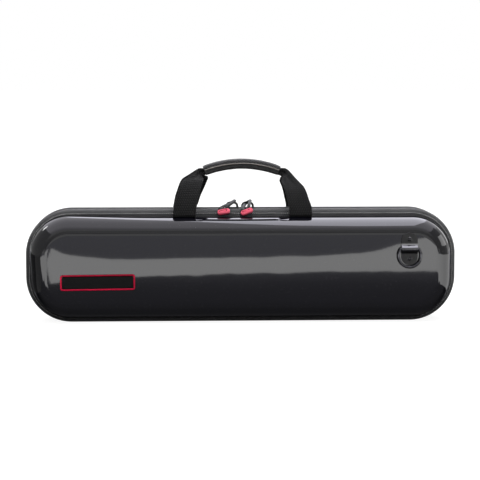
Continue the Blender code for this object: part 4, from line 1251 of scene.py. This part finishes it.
def make_screws(side, x, looks):
    half = HALF_NAME[side]
    face = BRACKET_FACE + SCREW_LIFT
    for place, dz in (("upper", SCREW_SPACING / 2), ("lower", -SCREW_SPACING / 2)):
        z = RING_BAR_Z + dz
        turns = [2 * math.pi * k / 28 for k in range(28)]
        grid = [[(x + r * math.cos(turn), side * (face + depth), z + r * math.sin(turn)) for turn in turns]
                for depth, r in SCREW_SHAPE]
        head = solid(f"{half}_screw_{place}_head", grid, looks["screw"])
        slot = box("slot_cutter", (x, side * (face + SCREW_SHAPE[-1][0]), z), SCREW_SLOT, looks["screw"])
        put(cut(head, [slot]), BODY[side], f"{half}_ring_screw_{place}", slot="hardware_black")


def make_ring_set(side, looks):
    for make in (make_bracket, make_ring, make_screws):
        make(side, -side * RING_X, looks)


BADGE_BORDER = 0.0018
BORDER_LAYERS = ((0, 0), (0, 0.0010), (0.0002, 0.0013), (0.0006, 0.0014), (BADGE_BORDER - 0.0006, 0.0014),
                 (BADGE_BORDER - 0.0002, 0.0012), (BADGE_BORDER, 0.0009), (BADGE_BORDER, 0))
FIELD_LAYERS = ((0, 0), (0, 0.0007), (0.0002, 0.0009), (0.003, 0.00095), (0.0058, 0.00095))


def badge_layer(margin, radius, depth):
    """A rounded rectangle as large as the badge less a margin, at a depth in front of the shell."""
    shape = turned(rounded(BADGE_SIZE[0] - 2 * margin, BADGE_SIZE[1] - 2 * margin, radius, 8), BADGE_TILT)
    y = -HALF_DEPTH - CLEARANCE - depth
    return [(BADGE_CENTRE[0] + px, y, BADGE_CENTRE[1] + pz) for px, pz in shape]


def make_badge(looks):
    """A raised border with rounded edges round a bare field."""
    grid = [badge_layer(inset, max(0.0026 - inset, 0.0009), depth) for inset, depth in BORDER_LAYERS]
    border = surface("badge_border_raised", grid, looks["red"], wrap_i=True, wrap_j=True)
    put(border, "front_case", "badge_frame", slot="badge_red")
    grid = [badge_layer(BADGE_BORDER + 0.0002 + inset, 0.0009, depth) for inset, depth in FIELD_LAYERS]
    put(solid("badge_field_bare", grid, looks["black"]), "front_case", "badge_field", slot="badge_black")


# Inside and underneath

# Each block's node, its name here, its half and the rounding of its edges
PLUSH_BLOCKS = (("foam_bed", "flute_bed_plush", REAR, 0.0011),
                ("lid_foam", "lid_block_plush", FRONT, 0.0008))

PAD_INSET, PAD_FACE, PAD_BACK = 0.0105, 0.0010, 0.0090
PAD_MIDDLE = CASE_HEIGHT / 2 - 0.0012
PAD_SPANS = 40
PAD_FALL = 0.0030
QUILT_PITCH, QUILT_DEPTH = 0.034, 0.0018
HINGE_HALF, HINGE_Z = 0.1715, 0.0009
HINGE_STEPS, HINGE_COLUMNS = 48, 32


def make_blocks(looks):
    """The plush-covered bed with rounded pocket edges, and the foam block in the lid."""
    for node, name, side, bevel in PLUSH_BLOCKS:
        data = bpy.data.objects[node].data.copy()
        bm = bmesh.new()
        bm.from_mesh(data)
        bmesh.ops.remove_doubles(bm, verts=bm.verts, dist=0.00002)
        bmesh.ops.dissolve_limit(bm, angle_limit=math.radians(1.0), verts=bm.verts, edges=bm.edges)
        bm.to_mesh(data)
        bm.free()
        data.materials.clear()
        data.materials.append(looks["plush"].material)
        block = as_mesh(round_edges(new_object(name, data), bevel, angle=50))
        block.data.shade_smooth()
        block.data.set_sharp_from_angle(angle=math.radians(50))
        put(block, BODY[side], node, slot="foam_plush")


def make_lid_pad(looks):
    """A pad with drawn-in edges, sewn in diamonds."""
    def ring(inset):
        return outline(inset, corner_steps=16, long_steps=150, short_steps=8)

    grid = [[(p.x, -PAD_BACK, p.y) for p in ring(inset)] for inset in (PAD_MIDDLE, PAD_INSET)]
    for share in [step / PAD_SPANS for step in range(PAD_SPANS + 1)]:
        edge_fall = PAD_FALL * (1 - min(1, share * 4)) ** 2
        row = []
        for p in ring(PAD_INSET + (PAD_MIDDLE - PAD_INSET) * share):
            ways = [(p.x + p.y) / QUILT_PITCH, (p.x - p.y) / QUILT_PITCH]
            seam = min(abs(way - round(way)) for way in ways)
            groove = QUILT_DEPTH * math.exp(-(seam / 0.07) ** 2)
            row.append((p.x, -(PAD_FACE + edge_fall + groove), p.y))
        grid.append(row)
    us = [0.001 * i for i in range(len(grid) + 1)]
    vs = [0.001 * i for i in range(len(grid[0]) + 1)]
    pad = surface("lid_pad_quilted", grid, looks["plush"], us, vs, wrap_j=True)
    put(pad, "front_case", "lid_pad", slot="foam_plush")


def make_hinge(looks):
    """The woven hinge strip along the bottom edge, where the real one bends; here it lies flat."""
    across = [TAPE_HALF_WIDTH * (2 * j / HINGE_COLUMNS - 1) for j in range(HINGE_COLUMNS + 1)]
    us = evenly(2 * HINGE_HALF, HINGE_STEPS)
    grid = [[(along - HINGE_HALF, face * y, HINGE_Z + face * STRIP_WALL) for face in (1, -1) for y in across]
            for along in us]
    vs = way_along([Vector(point) for point in grid[0]])
    strip = solid("hinge_strip_woven", grid, looks["band"], us=us, vs=vs)
    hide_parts("hinge_fabric")
    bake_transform(strip)


# The studio

CAMERA_TARGET = Vector((0, 0, 0.084))
CAMERA_DISTANCE = 1.8
CAMERA_ELEVATION = 5.2
CAMERA_AZIMUTH = -2.48
SENSOR = 36
LENS = 129.98
SHIFT = (-0.0017, -0.0029)
PICTURE_SIDE = 480
PICTURE_CENTRE = (240.8, 238.6)
WORLD_FILL = 0.05
FLOOR_GLOW = (1.40, 1.68)
FLOOR_GLOW_REACH = (0.45, 1.7)
FLOOR_SHARE = 0.65


def camera_axes():
    """The camera's right, up and back."""
    e, a = math.radians(CAMERA_ELEVATION), math.radians(CAMERA_AZIMUTH)
    back = Vector((math.sin(a) * math.cos(e), -math.cos(a) * math.cos(e), math.sin(e)))
    right = Vector((math.cos(a), math.sin(a), 0))
    return right, back.cross(right), back


def make_camera():
    _, _, back = camera_axes()
    data = bpy.data.cameras.new("camera")
    data.sensor_width = SENSOR
    data.lens = LENS
    data.shift_x, data.shift_y = SHIFT
    camera = new_object("camera", data)
    camera.location = CAMERA_TARGET + back * CAMERA_DISTANCE
    camera.rotation_euler = (-back).to_track_quat("-Z", "Y").to_euler()
    bpy.context.scene.camera = camera


# Each lamp's place, size and power. All face the middle of the case.
LAMPS = {
    "key_above": ((0.35, -0.22, 1.45), (1.2, 0.9), 18.5),
    "fill_above_left": ((-0.9, -0.35, 1.1), (0.9, 0.7), 3.5),
    "fill_front": ((0.15, -1.6, 0.8), (1.0, 0.6), 8),
    "rear_above": ((-0.2, 0.9, 1.3), (1.4, 0.8), 11),
}


def make_lamps():
    """Soft lamps that light the case but don't show in its gloss."""
    for name, (place, size, power) in LAMPS.items():
        data = bpy.data.lights.new(name, "AREA")
        data.shape = "RECTANGLE"
        data.size, data.size_y = size
        data.energy = power
        lamp = new_object(name, data)
        lamp.location = place
        lamp.rotation_euler = (Vector((0, 0, 0.08)) - Vector(place)).to_track_quat("-Z", "Y").to_euler()
        lamp.visible_camera = False
        lamp.visible_glossy = False


def make_world():
    """A white world that looks full white, and throws only a little light."""
    world = bpy.data.worlds.new("studio")
    bpy.context.scene.world = world
    world.use_nodes = True
    tree = world.node_tree
    ground = tree.nodes["Background"]
    ground.inputs["Color"].default_value = (1, 1, 1, 1)
    ways = tree.nodes.new("ShaderNodeLightPath")
    seen = ways.outputs["Is Camera Ray"]
    for name in ("Is Glossy Ray", "Is Transmission Ray"):
        both = tree.nodes.new("ShaderNodeMath")
        both.operation = "MAXIMUM"
        tree.links.new(seen, both.inputs[0])
        tree.links.new(ways.outputs[name], both.inputs[1])
        seen = both.outputs[0]
    strength = tree.nodes.new("ShaderNodeMapRange")
    strength.inputs["To Min"].default_value = WORLD_FILL
    strength.inputs["To Max"].default_value = 1.0
    tree.links.new(seen, strength.inputs["Value"])
    tree.links.new(strength.outputs[0], ground.inputs["Strength"])


def make_floor():
    """A plain floor that looks white, keeps the shadow, and throws little light back up."""
    bm = bmesh.new()
    bmesh.ops.create_grid(bm, x_segments=2, y_segments=2, size=40)
    look = Look("studio_floor", (0.86, 0.86, 0.86), 0.9, Specular_IOR_Level=0.0)
    pale = look.ramp(look.noise(60, 3.0), ((0.3, 0.85), (0.7, 0.88)))
    ways = look.node("LightPath")
    seen = look.math("MAXIMUM", ways.outputs["Is Camera Ray"], ways.outputs["Is Glossy Ray"])
    look.set("Base Color", look.mix(seen, (0.10, 0.10, 0.10), pale))
    away = look.node("VectorMath", operation="LENGTH")
    look.put(away.inputs[0], look.node("TexCoord").outputs["Object"])
    mix = look.node("MixShader")
    look.put(mix.inputs[0], look.math("MULTIPLY", seen, FLOOR_SHARE))
    look.put(mix.inputs[1], look.shader.outputs[0])
    look.put(mix.inputs[2], look.emit(look.range(away.outputs["Value"], *FLOOR_GLOW, *FLOOR_GLOW_REACH)))
    look.finish(mix.outputs[0])
    finish_mesh("floor", bm, look)


def glossy_card(name, points, strength, axis=None, color=(1, 1, 1)):
    """A studio card that only reflections see. Its strength is one number, or pairs of a distance
    from zero along an axis and the strength there."""
    bm = bmesh.new()
    face = bm.faces.new([bm.verts.new(point) for point in points])
    if len(points) > 4:
        bmesh.ops.triangulate(bm, faces=[face], ngon_method="EAR_CLIP")
    look = Look(name, (0, 0, 0), 1.0)
    if axis is None:
        look.finish(look.emit(strength, (*color, 1)))
    else:
        place = look.split(look.node("TexCoord").outputs["Object"])[axis]
        far = strength[-1][0]
        most = max(value for _, value in strength)
        stops = [(distance / far, tuple(value / most * c for c in color)) for distance, value in strength]
        along = look.math("DIVIDE", look.math("ABSOLUTE", place), far)
        look.finish(look.emit(most, look.ramp(along, stops)))
    card = finish_mesh(name, bm, look)
    for way in ("camera", "diffuse", "transmission", "volume_scatter", "shadow"):
        setattr(card, f"visible_{way}", False)


def both_ends(name, points, strength, **settings):
    """A card for the front and its twin, half a turn round, for the rear."""
    glossy_card(name + "_front", points, strength, **settings)
    glossy_card(name + "_rear", [(-p[0], -p[1], p[2]) for p in points], strength, **settings)


def level(shape, z):
    """Corners of a level card from their (x, y)."""
    return [(x, y, z) for x, y in shape]


def upright(start, end, low, high):
    """Corners of a card standing on the line between two points."""
    return [(*start, low), (*end, low), (*end, high), (*start, high)]


def mirrored_point(px, py, card_y):
    """Where a point of the picture, mirrored in the front flat, falls on a card standing at card_y."""
    right, up, back = camera_axes()
    eye = CAMERA_TARGET + back * CAMERA_DISTANCE
    f = LENS / SENSOR * PICTURE_SIDE
    way = right * ((px - PICTURE_CENTRE[0]) / f) + up * ((PICTURE_CENTRE[1] - py) / f) - back
    hit = eye + way * ((-HALF_DEPTH - eye.y) / way.y)
    t = (card_y + HALF_DEPTH) / -way.y
    return Vector((hit.x + way.x * t, card_y, hit.z + way.z * t))


# Cards near the case: the floor as reflections see it, pale far off and dim near it as painted shade,
# and the band of light low on the front flat, whose patch is drawn in the picture's pixels
NEAR_FLOOR_Z, LEFT_FLOOR_Z = 0.0012, 0.0016
NEAR_SHAPE = ((-1.4, 0), (1.4, 0), (1.6, -1.5), (-1.6, -1.5))
# Strength by distance from the case: dim close to it, where shade falls, as painted shade
NEAR_FLOOR = ((0.0, 0.02), (0.02, 0.04), (0.03, 0.085), (0.04, 0.15), (0.055, 0.225), (0.20, 0.255),
              (0.28, 0.285), (0.36, 0.34), (0.43, 0.45), (0.52, 0.56), (0.75, 0.80), (1.5, 0.84))
LEFT_FLOOR = ((-0.27, -0.06), (-1.40, -1.60), (-1.40, -0.02), (-0.27, -0.02))
LEFT_FLOOR_REAR = ((-0.27, -0.02), (-1.40, -0.02), (-1.40, 1.60), (-0.27, 0.08))
BAND_Y = -0.30
BAND_PATCH = ((47, 247), (60, 252.5), (80, 256), (110, 257.5), (200, 257), (330, 253.5), (372, 249.5),
              (398, 242), (412, 236), (430, 233), (440, 236), (458, 238), (458, 271), (330, 272),
              (200, 275.5), (60, 282), (46, 284), (43, 272), (41, 263))
BAND_WEDGE = ((-0.224, 0.056), (-0.30, 0.055), (-0.47, 0.036), (-0.46, 0.022), (-0.30, 0.006),
              (-0.224, 0.004))

# Cards in front and above
FRONT_LOW = ((0.10, 0.45), (0.60, 0.50), (1.10, 0.95))
SOFT_TOP = ((0.0, 1.9), (0.80, 1.9), (1.30, 1.3), (1.80, 1.0))
SOFT_Z, SOFT_COLOR = 1.25, (0.95, 0.93, 1.0)
SOFT_FRONT = ((-1.6, 0), (1.6, 0), (1.6, -1.8), (-1.6, -1.8))
SOFT_REAR = ((-1.6, 0), (1.6, 0), (1.6, 3.0), (-1.6, 3.0))
BRIGHT_Z, BRIGHT_COLOR = 1.2, (0.98, 0.97, 1.08)
BRIGHT_TOP = ((-0.02, 0.20), (0.05, -0.14), (0.10, -0.36), (0.15, -0.50), (0.26, -0.65), (0.34, -0.62),
              (0.37, -0.58), (0.70, 0.20))
BRIGHT_TOP_REAR = ((-0.02, 0.20), (-0.08, 0.53), (-0.14, 0.79), (-0.22, 1.02), (-0.45, 1.80), (-0.73, 2.81),
                   (1.20, 2.81), (1.11, 2.20), (0.76, 0.36), (0.70, 0.20))
BRIGHT_TOP_FADE = ((0.20, 5.6), (0.70, 5.2), (1.00, 4.8), (1.60, 3.9), (2.80, 2.4))

# Cards at the ends. Round the right end, a low wall: its turn from straight ahead, its strength, the
# height of its foot, and how near the floor in front of it shines, if at all
LEFT_GLINT = ((-1.02, 0.38, 0.74), (-0.94, 0.52, 0.76), (-0.90, 0.50, 0.95), (-0.98, 0.36, 0.93))
RIGHT_HIGH = ((1.0, -0.42, 0.24), (1.0, 0.30, 0.22), (1.0, 0.30, 0.52), (1.0, -0.36, 0.54))
RIM_CARD = ((1.103, 0.905), (0.514, 1.231))
SIDE_CENTRE = (0.207, -0.037)
SIDE_FAR, SIDE_TOP, SIDE_FOOT = 0.200, 0.058, 0.0016
SIDE_GLOW = (
    (8, 3.7, 0.033, None), (18, 3.6, 0.026, None), (28, 3.5, 0.013, None), (36, 3.4, SIDE_FOOT, 0.176),
    (44, 3.2, SIDE_FOOT, 0.158), (60, 2.8, SIDE_FOOT, 0.132), (75, 2.4, SIDE_FOOT, 0.114),
    (90, 2.0, SIDE_FOOT, 0.104), (105, 1.6, SIDE_FOOT, 0.100), (120, 1.35, SIDE_FOOT, 0.098),
    (135, 1.2, SIDE_FOOT, 0.098),
)


def side_point(turn, reach, z):
    """A point round the case's right end, turned from straight ahead."""
    angle = math.radians(turn)
    return (SIDE_CENTRE[0] + reach * math.sin(angle), SIDE_CENTRE[1] - reach * math.cos(angle), z)


def make_cards():
    both_ends("card_floor", level(NEAR_SHAPE, NEAR_FLOOR_Z), NEAR_FLOOR, axis="Y", color=(1.0, 1.0, 1.1))
    both_ends("card_band", [mirrored_point(px, py, BAND_Y) for px, py in BAND_PATCH], 3.85)
    glossy_card("card_band_wedge", [(x, BAND_Y, z) for x, z in BAND_WEDGE], 3.4)
    both_ends("card_front_low", upright((-3, -2.3), (3, -2.3), 0.1, 1.1), FRONT_LOW, axis="Z")
    glossy_card("card_top_soft_front", level(SOFT_FRONT, SOFT_Z), SOFT_TOP, axis="Y", color=SOFT_COLOR)
    glossy_card("card_top_soft_rear", level(SOFT_REAR, SOFT_Z), 1.9, color=SOFT_COLOR)
    glossy_card("card_top_bright", level(BRIGHT_TOP, BRIGHT_Z), 5.8, color=BRIGHT_COLOR)
    glossy_card("card_top_bright_rear", level(BRIGHT_TOP_REAR, BRIGHT_Z), BRIGHT_TOP_FADE, axis="Y",
                color=BRIGHT_COLOR)
    glossy_card("card_left_dark", upright((-1.2, -1.6), (-1.2, 0.9), 0, 1.1), 0.5)
    glossy_card("card_right_dark", upright((1.2, -1.6), (1.2, 0.35), 0, 1.1), 0.5)
    glossy_card("card_left_glint", LEFT_GLINT, 12)
    glossy_card("card_right_high", RIGHT_HIGH, 3.2)
    glossy_card("card_left_floor", level(LEFT_FLOOR, LEFT_FLOOR_Z), 0.36)
    glossy_card("card_left_floor_rear", level(LEFT_FLOOR_REAR, LEFT_FLOOR_Z), 0.09)
    glossy_card("card_right_rim", upright(*RIM_CARD, 0.16, 0.75), 2.2)
    for (turn, strength, foot, reach), (end, _, end_foot, end_reach) in zip(SIDE_GLOW, SIDE_GLOW[1:]):
        low = [side_point(turn, SIDE_FAR, foot), side_point(end, SIDE_FAR, end_foot)]
        high = [side_point(end, SIDE_FAR, SIDE_TOP), side_point(turn, SIDE_FAR, SIDE_TOP)]
        glossy_card("card_right_wall", low + high, strength)
        if reach:
            near = [side_point(turn, reach, SIDE_FOOT), side_point(end, end_reach, SIDE_FOOT)]
            glossy_card("card_right_floor", near + low[::-1], strength)


def make_studio():
    bpy.context.scene.view_settings.view_transform = "Standard"
    for make in (make_camera, make_world, make_floor, make_lamps, make_cards):
        make()


def main():
    looks = make_looks()
    for side in (REAR, FRONT):
        for make in (make_shell, make_band, make_zip, make_strap, make_ring_set):
            make(side, looks)
    for make in (make_grip, make_grip_trim, make_badge, make_blocks, make_lid_pad, make_hinge,
                 make_zip_tabs):
        make(looks)
    for hand in ("left", "right"):
        make_slider(hand, looks)
        make_pull(hand, looks)
    for half in HALF_NAME.values():
        for place in ("upper", "lower"):
            bpy.data.objects[f"{half}_ring_washer_{place}"].data.materials[0] = looks["metal"].material
    make_studio()


main()
